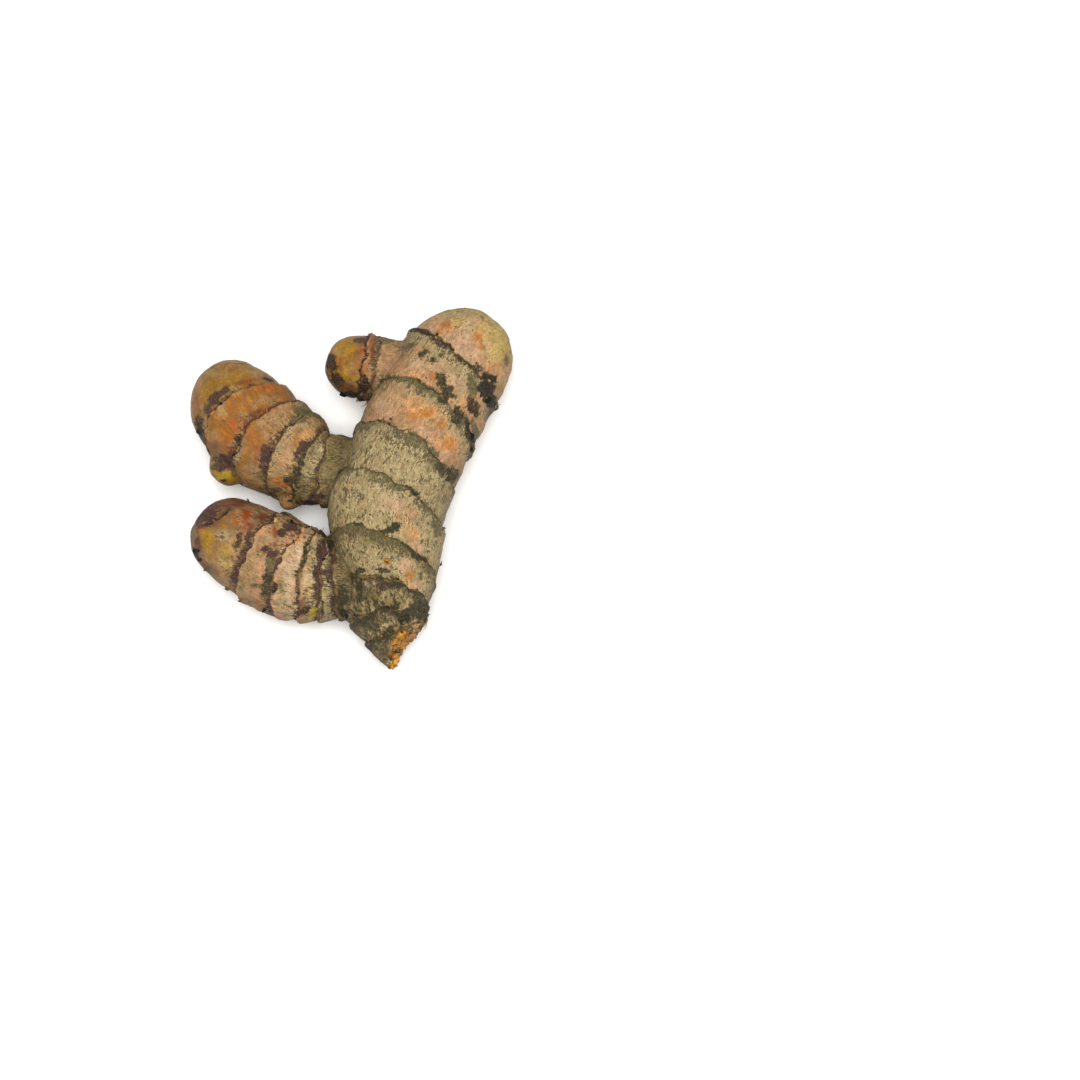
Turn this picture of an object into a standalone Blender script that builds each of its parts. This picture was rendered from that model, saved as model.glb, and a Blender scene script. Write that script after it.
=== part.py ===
"""A fresh turmeric root lying on a table, as one grown solid.

A thick mother limb carries two fingers, a short knob and a few small buds. Every limb is a run
of internodes stacked like cups: each one widens to a rim, and the next grows out of it.

The root lies on z = 0 with its growing end towards +Y, and the origin is the middle of its box,
at the bottom. Sizes are in millimetres here and become metres as a mesh is made.
"""

import math
from collections import namedtuple

import bmesh
import bpy
import numpy as np
from mathutils import Matrix, Vector, noise

MM = 0.001
NODE = "turmeric_root"

# A limb's path is a list of (x, y, height, half width), from its root end to its apex.
# A ring is (distance along the path, lean, bow): lean carries its right side towards the apex and
# bow its top, each as a share of the half width. The first ring is the limb's root end.
# The cap is the rounded length before the apex: squareness 2 rounds it as an ellipse, more is blunter.
Limb = namedtuple("Limb", "path rings cap squareness lip columns")

MOTHER = Limb(
    path=[
        (14.8, -48.3, 8.2, 3.4),
        (13.7, -45.5, 8.6, 4.7),
        (13.1, -42.9, 9.3, 6.2),
        (12.4, -40.1, 10.2, 7.9),
        (11.2, -36.5, 11.2, 9.6),
        (10.3, -32.3, 11.8, 11.0),
        (9.7, -25.1, 12.2, 12.9),
        (9.8, -15.6, 13.9, 14.0),
        (10.6, -5.3, 14.8, 14.5),
        (14.8, 6.7, 15.0, 14.5),
        (20.0, 19.1, 14.4, 14.3),
        (25.7, 30.9, 13.8, 14.6),
        (36.7, 46.1, 15.0, 14.2),
    ],
    rings=[
        (4.4, 0.80, 0.30),
        (8.8, 0.16, 0.02),
        (12.4, -0.07, 0.17),
        (17.9, -0.36, 0.28),
        (27.2, -0.40, 0.42),
        (39.9, -0.27, 0.42),
        (55.7, -0.18, 0.17),
        (69.6, -0.17, 0.14),
        (85.6, -0.15, 0.02),
    ],
    cap=19.0,
    squareness=2.3,
    lip=1.1,
    columns=44,
)

UPPER_FINGER = Limb(
    path=[
        (9.0, 1.7, 13.8, 8.6),
        (-2.6, 3.5, 13.2, 9.1),
        (-8.4, 4.4, 12.8, 9.4),
        (-11.6, 6.3, 12.6, 10.7),
        (-16.2, 9.1, 12.2, 11.7),
        (-23.5, 14.0, 12.0, 12.6),
        (-30.3, 21.9, 12.3, 12.5),
        (-36.5, 33.5, 13.0, 11.0),
    ],
    rings=[
        (0.0, 0.00, 0.00),
        (15.3, 0.08, 0.00),
        (18.6, -0.05, 0.10),
        (24.7, -0.03, 0.20),
        (31.7, -0.13, 0.29),
        (41.3, 0.01, 0.32),
    ],
    cap=15.0,
    squareness=2.2,
    lip=0.95,
    columns=36,
)

LOWER_FINGER = Limb(
    path=[
        (11.0, -28.3, 12.6, 9.2),
        (3.2, -27.0, 12.4, 9.6),
        (-2.5, -26.2, 12.2, 10.0),
        (-6.3, -25.9, 12.0, 10.7),
        (-11.1, -24.6, 11.7, 12.0),
        (-17.4, -22.1, 11.4, 12.2),
        (-25.2, -17.6, 11.6, 11.6),
        (-38.9, -9.9, 12.6, 10.4),
    ],
    rings=[
        (0.0, 0.00, 0.00),
        (12.9, 0.12, 0.03),
        (16.3, 0.02, 0.00),
        (21.0, 0.05, 0.00),
        (24.7, -0.08, 0.15),
        (34.4, 0.00, 0.13),
    ],
    cap=13.0,
    squareness=2.5,
    lip=0.95,
    columns=36,
)

KNOB = Limb(
    path=[
        (17.0, 31.1, 14.8, 7.6),
        (6.7, 32.3, 14.8, 8.3),
        (3.3, 32.9, 14.8, 8.4),
        (-1.9, 33.4, 14.6, 8.1),
        (-6.8, 34.2, 14.8, 7.5),
    ],
    rings=[
        (0.0, 0.0, 0.0),
        (10.6, -0.01, -0.10),
        (13.8, -0.03, -0.11),
    ],
    cap=9.0,
    squareness=2.4,
    lip=0.8,
    columns=28,
)

# Small buds: (root end, apex, half width at the root end, half width under the apex), in mm.
BUDS = [
    ((-28.9, 13.3, 11.4), (-33.9, 1.2, 10.4), 7.6, 4.2),
    ((-12.2, 5.1, 11.0), (-17.0, -5.9, 10.4), 5.6, 3.0),
    ((25.3, 24.9, 13.0), (37.3, 20.7, 13.4), 6.0, 3.6),
    ((19.7, 13.3, 13.0), (32.6, 8.9, 13.6), 5.6, 3.4),
    ((-19.0, -22.3, 11.0), (-22.6, -34.5, 10.8), 5.0, 3.0),
]
BUD_CAP = 4.2
BUD_SQUARENESS = 2.2
BUD_COLUMNS = 14

# How much each limb is flattened from above, how lumpy it grows, and how much the girth of one
# internode differs from the next.
FLATNESS = 0.94
LUMP_SIZE = 11.0
LUMP_SHARE = 0.045
GIRTH_CHANGE = 0.35

# Rows of each internode as shares of its length, and how far each stands out towards the lip.
CUP_ROWS = ((0.0, 0.0), (0.32, 0.42), (0.68, 0.84), (0.93, 1.0))
CAP_ROWS = (0.0, 0.26, 0.5, 0.7, 0.85, 0.94, 0.985)
CAP_SWELL = 0.35

# How far a ring strays from its plane as a share of the half width, and how often on the way round.
RING_WOBBLE = 0.085
RING_WAVES = 2.6

# Corners closer than this become one where limbs meet.
WELD = 0.03

# How finely a path is sampled, and how far each way its direction is averaged.
PATH_STEP = 0.25
BEND_REACH = 6.0

SKIN_COLOUR = (0.42, 0.31, 0.19, 1.0)
SKIN_ROUGHNESS = 0.72
CREASE_ANGLE = math.radians(50)


class Centreline:
    """A smooth line through a limb's path, measured along its length in mm."""

    def __init__(self, path):
        knots = np.array(path, float)
        ends = np.vstack([2 * knots[0] - knots[1], knots, 2 * knots[-1] - knots[-2]])
        samples = [knots[:1]]
        for before, start, end, after in zip(ends, ends[1:], ends[2:], ends[3:]):
            count = max(2, math.ceil(np.linalg.norm((end - start)[:3]) / PATH_STEP))
            t = np.linspace(0, 1, count + 1)[1:, None]
            samples.append(
                0.5
                * (
                    2 * start
                    + (end - before) * t
                    + (2 * before - 5 * start + 4 * end - after) * t**2
                    + (3 * start - before - 3 * end + after) * t**3
                )
            )
        self.points = np.vstack(samples)
        steps = np.linalg.norm(np.diff(self.points[:, :3], axis=0), axis=1)
        self.stations = np.concatenate([[0.0], np.cumsum(steps)])
        self.length = self.stations[-1]

    def centre(self, station):
        return Vector([np.interp(station, self.stations, c) for c in self.points[:, :3].T])

    def half_width(self, station):
        return np.interp(station, self.stations, self.points[:, 3])

    def directions(self, station):
        """Side and up directions, turning slowly so that rows don't cross inside a bend."""
        tangent = (self.centre(station + BEND_REACH) - self.centre(station - BEND_REACH)).normalized()
        side = tangent.cross(Vector((0, 0, 1))).normalized()
        return side, side.cross(tangent)


def dome(limb, line, station):
    """Share of the half width left at a station, from 1 before the cap to 0 at the apex."""
    into_cap = (station - (line.length - limb.cap)) / limb.cap
    share = min(max(into_cap, 0.0), 1.0) ** limb.squareness
    return (1 - share) ** (1 / limb.squareness)


def skin_point(limb, line, station, angle, relief):
    """A point of the limb's surface, in mm. Angle 0 is its right side and 90 degrees its top."""
    centre = line.centre(station)
    half_width = line.half_width(station)
    side, up = line.directions(station)
    rounding = dome(limb, line, station)
    outward = side * math.cos(angle) + up * math.sin(angle) * FLATNESS
    point = centre + outward * half_width * rounding
    lump = 1 + LUMP_SHARE * noise.noise(point / LUMP_SIZE)
    return centre + outward * (half_width * lump + relief) * rounding


def rows_of(limb, line):
    """Each row of the surface as (ring before, ring after, share between them, relief)."""
    apex = (line.length, 0.0, 0.0)
    rows = []
    for before, after in zip(limb.rings, limb.rings[1:]):
        girth = GIRTH_CHANGE * noise.noise(Vector((before[0], limb.cap, 0.5)))
        rows += [(before, after, share, limb.lip * swell + girth) for share, swell in CUP_ROWS]
    for share in CAP_ROWS:
        rows.append((limb.rings[-1], apex, share, limb.lip * CAP_SWELL * share))
    return rows


def ring_station(line, ring, angle):
    """Where a ring runs at an angle round the limb."""
    station, lean, bow = ring
    across, above = math.cos(angle), math.sin(angle)
    wobble = RING_WOBBLE * noise.noise(Vector((across, above, station)) * RING_WAVES)
    return station + line.half_width(station) * (lean * across + bow * above + wobble)


def limb_object(name, limb):
    """A closed mesh of one limb, with a flat root end and a pointed fan at its apex."""
    line = Centreline(limb.path)
    angles = [2 * math.pi * column / limb.columns for column in range(limb.columns)]
    points = []
    for before, after, share, relief in rows_of(limb, line):
        for angle in angles:
            start = ring_station(line, before, angle)
            end = line.length if after[0] == line.length else ring_station(line, after, angle)
            points.append(skin_point(limb, line, start + share * (end - start), angle, relief))
    row_count = len(points) // limb.columns
    root_centre, apex_centre = len(points), len(points) + 1
    points.append(sum(points[: limb.columns], Vector()) / limb.columns)
    points.append(line.centre(line.length))

    faces = []
    for column in range(limb.columns):
        beside = (column + 1) % limb.columns
        faces.append((root_centre, column, beside))
        for row in range(row_count - 1):
            low, high = row * limb.columns, (row + 1) * limb.columns
            faces.append((low + beside, low + column, high + column, high + beside))
        last = (row_count - 1) * limb.columns
        faces.append((last + beside, last + column, apex_centre))

    mesh = bpy.data.meshes.new(name)
    mesh.from_pydata([point * MM for point in points], [], faces)
    mesh.update()
    made = bpy.data.objects.new(name, mesh)
    bpy.context.scene.collection.objects.link(made)
    return made


def bud_limb(root, apex, root_half_width, tip_half_width):
    """A bud as a short limb with no rings of its own."""
    return Limb(
        path=[(*root, root_half_width), (*apex, tip_half_width)],
        rings=[(0.0, 0.0, 0.0)],
        cap=BUD_CAP,
        squareness=BUD_SQUARENESS,
        lip=0.0,
        columns=BUD_COLUMNS,
    )


def grow_together(root, limbs):
    """Joins the limbs to the root by one Boolean, and removes them."""
    group = bpy.data.collections.new("limbs")
    bpy.context.scene.collection.children.link(group)
    for limb in limbs:
        bpy.context.scene.collection.objects.unlink(limb)
        group.objects.link(limb)
    modifier = root.modifiers.new("grow_together", "BOOLEAN")
    modifier.operation = "UNION"
    modifier.operand_type = "COLLECTION"
    modifier.collection = group
    modifier.solver = "EXACT"
    bpy.context.view_layer.objects.active = root
    bpy.ops.object.modifier_apply(modifier=modifier.name)
    for limb in limbs:
        bpy.data.objects.remove(limb)
    bpy.data.collections.remove(group)


def tidy_seams(mesh):
    """Closes the slivers that the union leaves where limbs meet."""
    shape = bmesh.new()
    shape.from_mesh(mesh)
    bmesh.ops.remove_doubles(shape, verts=shape.verts, dist=WELD * MM)
    bmesh.ops.dissolve_degenerate(shape, edges=shape.edges, dist=WELD * MM)
    bmesh.ops.triangulate(shape, faces=[face for face in shape.faces if len(face.verts) > 4])
    shape.to_mesh(mesh)
    shape.free()


def press_flat(mesh):
    """Presses the lowest bellies of the limbs flat, where they lie on the table."""
    for vertex in mesh.vertices:
        vertex.co.z = max(vertex.co.z, 0.0)
    mesh.update()


def centre_on_origin(mesh):
    """Moves the root over the surface until the middle of its box is at the origin."""
    corners = np.array([vertex.co for vertex in mesh.vertices])
    middle = (corners.min(0) + corners.max(0)) / 2
    mesh.transform(Matrix.Translation((-middle[0], -middle[1], 0.0)))


def skin_material():
    material = bpy.data.materials.new("turmeric_skin")
    material.use_nodes = True
    shader = material.node_tree.nodes["Principled BSDF"]
    shader.inputs["Base Color"].default_value = SKIN_COLOUR
    shader.inputs["Roughness"].default_value = SKIN_ROUGHNESS
    shader.inputs["Metallic"].default_value = 0.0
    return material


def main():
    for left_over in list(bpy.data.objects):
        bpy.data.objects.remove(left_over)

    root = limb_object(NODE, MOTHER)
    limbs = {"upper_finger": UPPER_FINGER, "lower_finger": LOWER_FINGER, "knob": KNOB}
    limbs.update({f"bud_{number}": bud_limb(*bud) for number, bud in enumerate(BUDS)})
    grow_together(root, [limb_object(name, limb) for name, limb in limbs.items()])
    tidy_seams(root.data)
    press_flat(root.data)
    centre_on_origin(root.data)

    root.data.materials.clear()
    root.data.materials.append(skin_material())
    root.data.shade_smooth()
    root.data.set_sharp_from_angle(angle=CREASE_ANGLE)


main()
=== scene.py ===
"""The looks of a fresh turmeric root: its grown skin, snapped flesh, papery scales and rootlets.

The skin follows the same limbs as the solid: each is a run of internodes stacked like cups, and
a ring is the rim of one cup. Lengths are in millimetres here and become metres as a mesh is made.
"""

import math
from collections import namedtuple

import bpy
import numpy as np
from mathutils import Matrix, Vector, noise
from mathutils.bvhtree import BVHTree


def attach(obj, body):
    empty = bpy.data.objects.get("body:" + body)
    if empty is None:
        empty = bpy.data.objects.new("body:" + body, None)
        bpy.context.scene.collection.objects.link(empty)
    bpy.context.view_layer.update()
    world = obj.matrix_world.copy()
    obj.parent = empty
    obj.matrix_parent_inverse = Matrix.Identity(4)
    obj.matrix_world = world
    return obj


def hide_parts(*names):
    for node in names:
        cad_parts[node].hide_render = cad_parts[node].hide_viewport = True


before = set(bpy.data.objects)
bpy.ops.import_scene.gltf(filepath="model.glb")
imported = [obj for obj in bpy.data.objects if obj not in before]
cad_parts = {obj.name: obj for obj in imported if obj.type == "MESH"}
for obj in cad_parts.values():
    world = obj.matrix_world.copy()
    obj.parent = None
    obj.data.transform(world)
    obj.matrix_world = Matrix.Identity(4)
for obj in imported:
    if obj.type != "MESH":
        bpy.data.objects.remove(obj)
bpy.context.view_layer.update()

MM = 0.001
NODE = "turmeric_root"
BODY = "root"

# The solid is moved this far so that the middle of its box is at the origin.
TO_ORIGIN = np.array([0.06, 0.12, 0.0])

# The photograph's camera: it looks along +Y and down, and sees 1080 pixels each way.
PHOTO_SIZE = 1080
PHOTO_ELEVATION = math.radians(70)
PHOTO_DISTANCE = 600.0
PHOTO_MM_PER_PIXEL = 0.26
PHOTO_AIM = np.array([49.96, -14.98, 12.0])
FOCAL_PIXELS = PHOTO_DISTANCE / PHOTO_MM_PER_PIXEL
SENSOR_WIDTH = 36.0

# The photograph's own directions, and the place that it was taken from.
RIGHT = np.array([1.0, 0.0, 0.0])
UPWARD = np.array([0.0, math.sin(PHOTO_ELEVATION), math.cos(PHOTO_ELEVATION)])
BACKWARD = np.array([0.0, -math.cos(PHOTO_ELEVATION), math.sin(PHOTO_ELEVATION)])
EYE = PHOTO_AIM + PHOTO_DISTANCE * BACKWARD

# How much brighter the scene's light shows a colour than it is, the pale sheen that it adds, and
# the least share of a dark colour that is left when that sheen is taken off.
LIGHT_GAIN = 1.36
SHEEN = 0.034
LEAST_SHARE = 0.1

# Colours in 8-bit sRGB as the light shows them, each with how speckled and how waxy it is.
PALETTE = {
    "khaki": (184, 166, 122, 0.55, 0.10),
    "straw": (206, 178, 108, 0.30, 0.20),
    "olive": (140, 124, 80, 0.75, 0.10),
    "bark": (118, 100, 66, 0.90, 0.05),
    "grey_green": (116, 110, 82, 0.60, 0.05),
    "slate": (74, 72, 60, 0.50, 0.05),
    "soot": (40, 35, 27, 0.20, 0.05),
    "umber": (66, 42, 26, 0.20, 0.30),
    "plum": (92, 70, 68, 0.30, 0.10),
    "maroon": (108, 64, 44, 0.20, 0.35),
    "rust": (152, 78, 30, 0.15, 0.35),
    "pink": (204, 166, 132, 0.18, 0.15),
    "rose": (194, 150, 112, 0.22, 0.15),
    "peach": (214, 156, 104, 0.15, 0.20),
    "tan": (180, 144, 102, 0.40, 0.10),
    "orange": (190, 120, 34, 0.12, 0.25),
    "copper": (164, 108, 34, 0.15, 0.35),
    "burnt": (170, 96, 10, 0.10, 0.35),
    "ochre": (156, 114, 52, 0.12, 0.55),
    "gold": (174, 134, 42, 0.08, 0.50),
    "lemon": (184, 158, 44, 0.05, 0.45),
    "cream": (212, 184, 146, 0.15, 0.15),
    "flesh": (240, 164, 14, 0.00, 0.60),
}

# A limb's path is a list of (x, y, height, half width), from its root end to its apex.
# A ring is (distance along the path, lean, bow). Lean carries its right side towards the apex and
# bow its top, each as a share of the half width. The first ring is the limb's root end.
# Tones are each internode's colours just past the ring before it and short of the ring after it.
# Bands are the dark rim at each ring after the first: its colour, width and strength. It lies short
# of the ring, or past it if the limb's bands are beyond. Streaks is how many internodes are streaky.
Limb = namedtuple("Limb", "name path rings cap squareness lip tones bands beyond streaks")

MOTHER = Limb(
    name="mother",
    path=[
        (14.8, -48.3, 8.2, 3.4),
        (13.7, -45.5, 8.6, 4.7),
        (13.1, -42.9, 9.3, 6.2),
        (12.4, -40.1, 10.2, 7.9),
        (11.2, -36.5, 11.2, 9.6),
        (10.3, -32.3, 11.8, 11.0),
        (9.7, -25.1, 12.2, 12.9),
        (9.8, -15.6, 13.9, 14.0),
        (10.6, -5.3, 14.8, 14.5),
        (14.8, 6.7, 15.0, 14.5),
        (20.0, 19.1, 14.4, 14.3),
        (25.7, 30.9, 13.8, 14.6),
        (36.7, 46.1, 15.0, 14.2),
    ],
    rings=[
        (4.4, 0.80, 0.30),
        (8.8, 0.16, 0.02),
        (12.4, -0.07, 0.17),
        (17.9, -0.36, 0.28),
        (27.2, -0.40, 0.42),
        (39.9, -0.27, 0.42),
        (55.7, -0.18, 0.17),
        (69.6, -0.17, 0.14),
        (85.6, -0.15, 0.02),
    ],
    cap=19.0,
    squareness=2.3,
    lip=1.1,
    tones=[
        ("bark", "bark"),
        ("olive", "bark"),
        ("olive", "bark"),
        ("khaki", "olive"),
        ("khaki", "khaki"),
        ("khaki", "khaki"),
        ("rose", "khaki"),
        ("rose", "khaki"),
        ("pink", "straw"),
    ],
    bands=[
        ("slate", 1.2, 0.7),
        ("slate", 1.6, 0.7),
        ("slate", 1.4, 0.7),
        ("grey_green", 1.6, 0.6),
        ("grey_green", 1.4, 0.6),
        ("grey_green", 1.8, 0.65),
        ("grey_green", 2.0, 0.7),
        ("slate", 1.2, 0.75),
    ],
    beyond=False,
    streaks=3,
)

UPPER_FINGER = Limb(
    name="upper_finger",
    path=[
        (9.0, 1.7, 13.8, 8.6),
        (-2.6, 3.5, 13.2, 9.1),
        (-8.4, 4.4, 12.8, 9.4),
        (-11.6, 6.3, 12.6, 10.7),
        (-16.2, 9.1, 12.2, 11.7),
        (-23.5, 14.0, 12.0, 12.6),
        (-30.3, 21.9, 12.3, 12.5),
        (-36.5, 33.5, 13.0, 11.0),
    ],
    rings=[
        (0.0, 0.00, 0.00),
        (15.3, 0.08, 0.00),
        (18.6, -0.05, 0.10),
        (24.7, -0.03, 0.20),
        (31.7, -0.13, 0.29),
        (41.3, 0.01, 0.32),
    ],
    cap=15.0,
    squareness=2.2,
    lip=0.95,
    tones=[
        ("bark", "olive"),
        ("khaki", "olive"),
        ("tan", "tan"),
        ("tan", "copper"),
        ("copper", "copper"),
        ("ochre", "ochre"),
    ],
    bands=[
        ("bark", 1.0, 0.5),
        ("slate", 1.4, 0.7),
        ("plum", 1.4, 0.6),
        ("maroon", 1.6, 0.6),
        ("plum", 1.2, 0.35),
    ],
    beyond=True,
    streaks=0,
)

LOWER_FINGER = Limb(
    name="lower_finger",
    path=[
        (11.0, -28.3, 12.6, 9.2),
        (3.2, -27.0, 12.4, 9.6),
        (-2.5, -26.2, 12.2, 10.0),
        (-6.3, -25.9, 12.0, 10.7),
        (-11.1, -24.6, 11.7, 12.0),
        (-17.4, -22.1, 11.4, 12.2),
        (-25.2, -17.6, 11.6, 11.6),
        (-38.9, -9.9, 12.6, 10.4),
    ],
    rings=[
        (0.0, 0.00, 0.00),
        (12.9, 0.12, 0.03),
        (16.3, 0.02, 0.00),
        (21.0, 0.05, 0.00),
        (24.7, -0.08, 0.15),
        (34.4, 0.00, 0.13),
    ],
    cap=13.0,
    squareness=2.5,
    lip=0.95,
    tones=[
        ("bark", "olive"),
        ("khaki", "khaki"),
        ("khaki", "tan"),
        ("cream", "rose"),
        ("rose", "tan"),
        ("tan", "maroon"),
    ],
    bands=[
        ("plum", 1.4, 0.9),
        ("plum", 1.4, 0.8),
        ("umber", 0.9, 0.6),
        ("plum", 2.0, 0.8),
        ("plum", 2.0, 0.8),
    ],
    beyond=True,
    streaks=0,
)

KNOB = Limb(
    name="knob",
    path=[
        (17.0, 31.1, 14.8, 7.6),
        (6.7, 32.3, 14.8, 8.3),
        (3.3, 32.9, 14.8, 8.4),
        (-1.9, 33.4, 14.6, 8.1),
        (-6.8, 34.2, 14.8, 7.5),
    ],
    rings=[
        (0.0, 0.0, 0.0),
        (10.6, -0.01, -0.10),
        (13.8, -0.03, -0.11),
    ],
    cap=9.0,
    squareness=2.4,
    lip=0.8,
    tones=[
        ("rose", "tan"),
        ("tan", "rust"),
        ("ochre", "ochre"),
    ],
    bands=[
        ("bark", 1.0, 0.6),
        ("umber", 0.8, 0.7),
    ],
    beyond=True,
    streaks=0,
)

# Small buds: (root end, apex, half width at the root end, half width under the apex, tones).
BUDS = [
    ((-28.9, 13.3, 11.4), (-33.9, 1.2, 10.4), 7.6, 4.2, ("tan", "gold")),
    ((-12.2, 5.1, 11.0), (-17.0, -5.9, 10.4), 5.6, 3.0, ("orange", "tan")),
    ((25.3, 24.9, 13.0), (37.3, 20.7, 13.4), 6.0, 3.6, ("soot", "slate")),
    ((19.7, 13.3, 13.0), (32.6, 8.9, 13.6), 5.6, 3.4, ("slate", "bark")),
    ((-19.0, -22.3, 11.0), (-22.6, -34.5, 10.8), 5.0, 3.0, ("tan", "ochre")),
]
BUD_CAP = 4.2
BUD_SQUARENESS = 2.2

# The form of the limbs, as in the solid.
FLATNESS = 0.94
LUMP_SIZE = 11.0
LUMP_SHARE = 0.045
GIRTH_CHANGE = 0.35
CUP_SHARES = (0.0, 0.32, 0.68, 0.93, 1.0)
CUP_SWELLS = (0.0, 0.42, 0.84, 1.0, 1.0)
CAP_SWELL = 0.35
FULL_LIP_WIDTH = 12.0
RING_WOBBLE = 0.085
RING_WAVES = 2.6
PATH_STEP = 0.25
BEND_REACH = 6.0

# Finer form: (size, height) of the ragged rings, the rolled rims, the wrinkles and the lumps.
RING_ANGLES = np.linspace(-math.pi, math.pi, 1441)
RING_TEETH = ((5.0, 0.9), (1.7, 0.5), (0.7, 0.35))
RIM_ROLL = (0.8, 0.12)
RIM_GROOVE = (0.45, 0.20)
RIM_BLUR = (-0.15, 0.0, 0.15)
WRINKLES = (((7.0, 1.8, 1.8), 0.10), ((3.0, 0.8, 0.8), 0.06), ((0.9, 5.0, 5.0), 0.05))
LUMPS = ((5.0, 0.30), (1.8, 0.14), (0.8, 0.08))
LUMP_SEED = 11.0
FLESH_FIBRES = (0.9, 0.9)
FLESH_SEED = 2.0
# How much of its wrinkles and of its lumps a waxy skin loses, and of all relief where limbs meet.
WAXY_LOSS = (0.7, 0.5)
JUNCTION_LOSS = 0.6

# Noises that paint the skin, each as (size, seed).
DRIFT = (5.0, 3.0)
GRAIN = (1.3, 8.0)
FLESH_HOLES = (0.8, 21.0)
SCAR_EDGE = (0.8, 31.0)
FLESH_STAINS = (1.5, 41.0)

# Where an internode turns from its young tone to its old one, and how far noise shifts that.
AGEING = (0.15, 0.95)
AGE_DRIFT = 0.5
AGE_GRAIN = 0.15
# How far the dark rims spread, how ragged they are, and the least and most that they fade over.
BAND_SPREAD = 1.35
BAND_DRIFT = 1.3
BAND_GRAIN = 0.6
BAND_LEAST = 0.05
BAND_FADE = (1.3, 0.1)
# Speckles gather round a rim: how many, and how far out in rim widths.
RIM_SPECKLES = 0.35
RIM_SPECKLE_REACH = 2.2
# The pale edge at the foot of an internode: its width, where noise lets it show, and its strength.
PALE_WIDTH = (0.9, 0.2)
PALE_SHOWN = (-0.35, 0.15)
PALE_STRENGTH = 0.45
# Streaks along old internodes: tone, width, seed, threshold and strength.
STREAKS = (
    ("khaki", 0.9, 51.0, 0.14, 0.6),
    ("cream", 0.9, 57.0, 0.30, 0.6),
    ("plum", 1.1, 63.0, 0.26, 0.5),
    ("slate", 0.8, 69.0, 0.16, 0.6),
)
STREAK_STRETCH = (2.6, 1.0, 1.0)
STREAK_EDGE = 0.25
STREAK_GRAIN = 0.3
# Mottling all over: tone, size, seed, threshold and strength.
MOTTLES = (
    ("khaki", 3.4, 73.0, 0.10, 0.35),
    ("tan", 2.6, 79.0, 0.14, 0.35),
    ("rose", 2.2, 83.0, 0.18, 0.25),
    ("bark", 1.7, 89.0, 0.20, 0.35),
)
MOTTLE_EDGE = 0.3
MOTTLE_GRAIN = 0.25
# How much painted shade darkens the skin underneath and in its crevices, and where it starts to face down.
UNDERSIDE_SHADE = 0.40
CREVICE_SHADE = 0.30
FACING_DOWN = (0.80, -0.30)

# The skin's mesh.
VOXEL = 0.475
SHELL_COLUMNS = 90
SHELL_ROWS = 170
SHELL_END = 0.995
SMOOTHING = 0.5
SMOOTHING_ROUNDS = 2
LIMB_FILLET = 3.2
BUD_FILLET = 2.2
FILLET_PULL = 0.6
FILLET_ROUNDS = 36
# How softly one limb's skin passes into the next, and the least weight that counts.
LIMB_BLEND = 0.6
LEAST_WEIGHT = 0.02
# Each limb's own coordinates start this far from the one before, so that no noise repeats.
LIMB_SPACING = 500.0
# The search for a point's place along a limb: its first samples, rounds and share of a full step.
SEARCH_STRIDE = 8
SEARCH_ROUNDS = 8
SEARCH_STEP = 0.8
FAR = 99.0
TINY = 1e-6
SEED = 7

# Dark tones lie on the skin as ragged bark, and the others are the bare skin's own colour.
BARK_TONES = ("grey_green", "slate", "soot", "umber", "plum")
# How far skin under bark turns olive, and how much of the bark a bare tone takes away.
UNDER_BARK = 0.6
BARED = 0.85

# The columns of the paint: the skin's five, the bark's colour and how much it covers.
SKIN = slice(0, 5)
SPECKLED = 3
WAXY = 4
BARK = slice(5, 8)
COVER = 8
COLUMNS = 9
ALL = slice(None)


def linear(tone):
    """A palette entry as linear red, green and blue, then how speckled and how waxy it is."""
    channels = np.array(tone[:3]) / 255
    low = channels / 12.92
    high = ((channels + 0.055) / 1.055) ** 2.4
    shown = np.where(channels <= 0.04045, low, high)
    bare = np.maximum(shown - SHEEN, LEAST_SHARE * shown) / LIGHT_GAIN
    return np.array([*bare, *tone[3:]])


TONES = {name: linear(tone) for name, tone in PALETTE.items()}


def unit(vectors):
    return vectors / np.linalg.norm(vectors, axis=-1, keepdims=True)


def smoothstep(low, high, value):
    share = np.clip((value - low) / (high - low), 0.0, 1.0)
    return share * share * (3 - 2 * share)


def share_between(past, short):
    return past / np.maximum(past + short, TINY)


def noise_at(points, size=1.0, seed=0.0):
    """Smooth noise from about -1 to 1 at each point, whose bumps have the given size."""
    scaled = points / size + seed
    return np.array([noise.noise(point) for point in scaled.tolist()])


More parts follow.
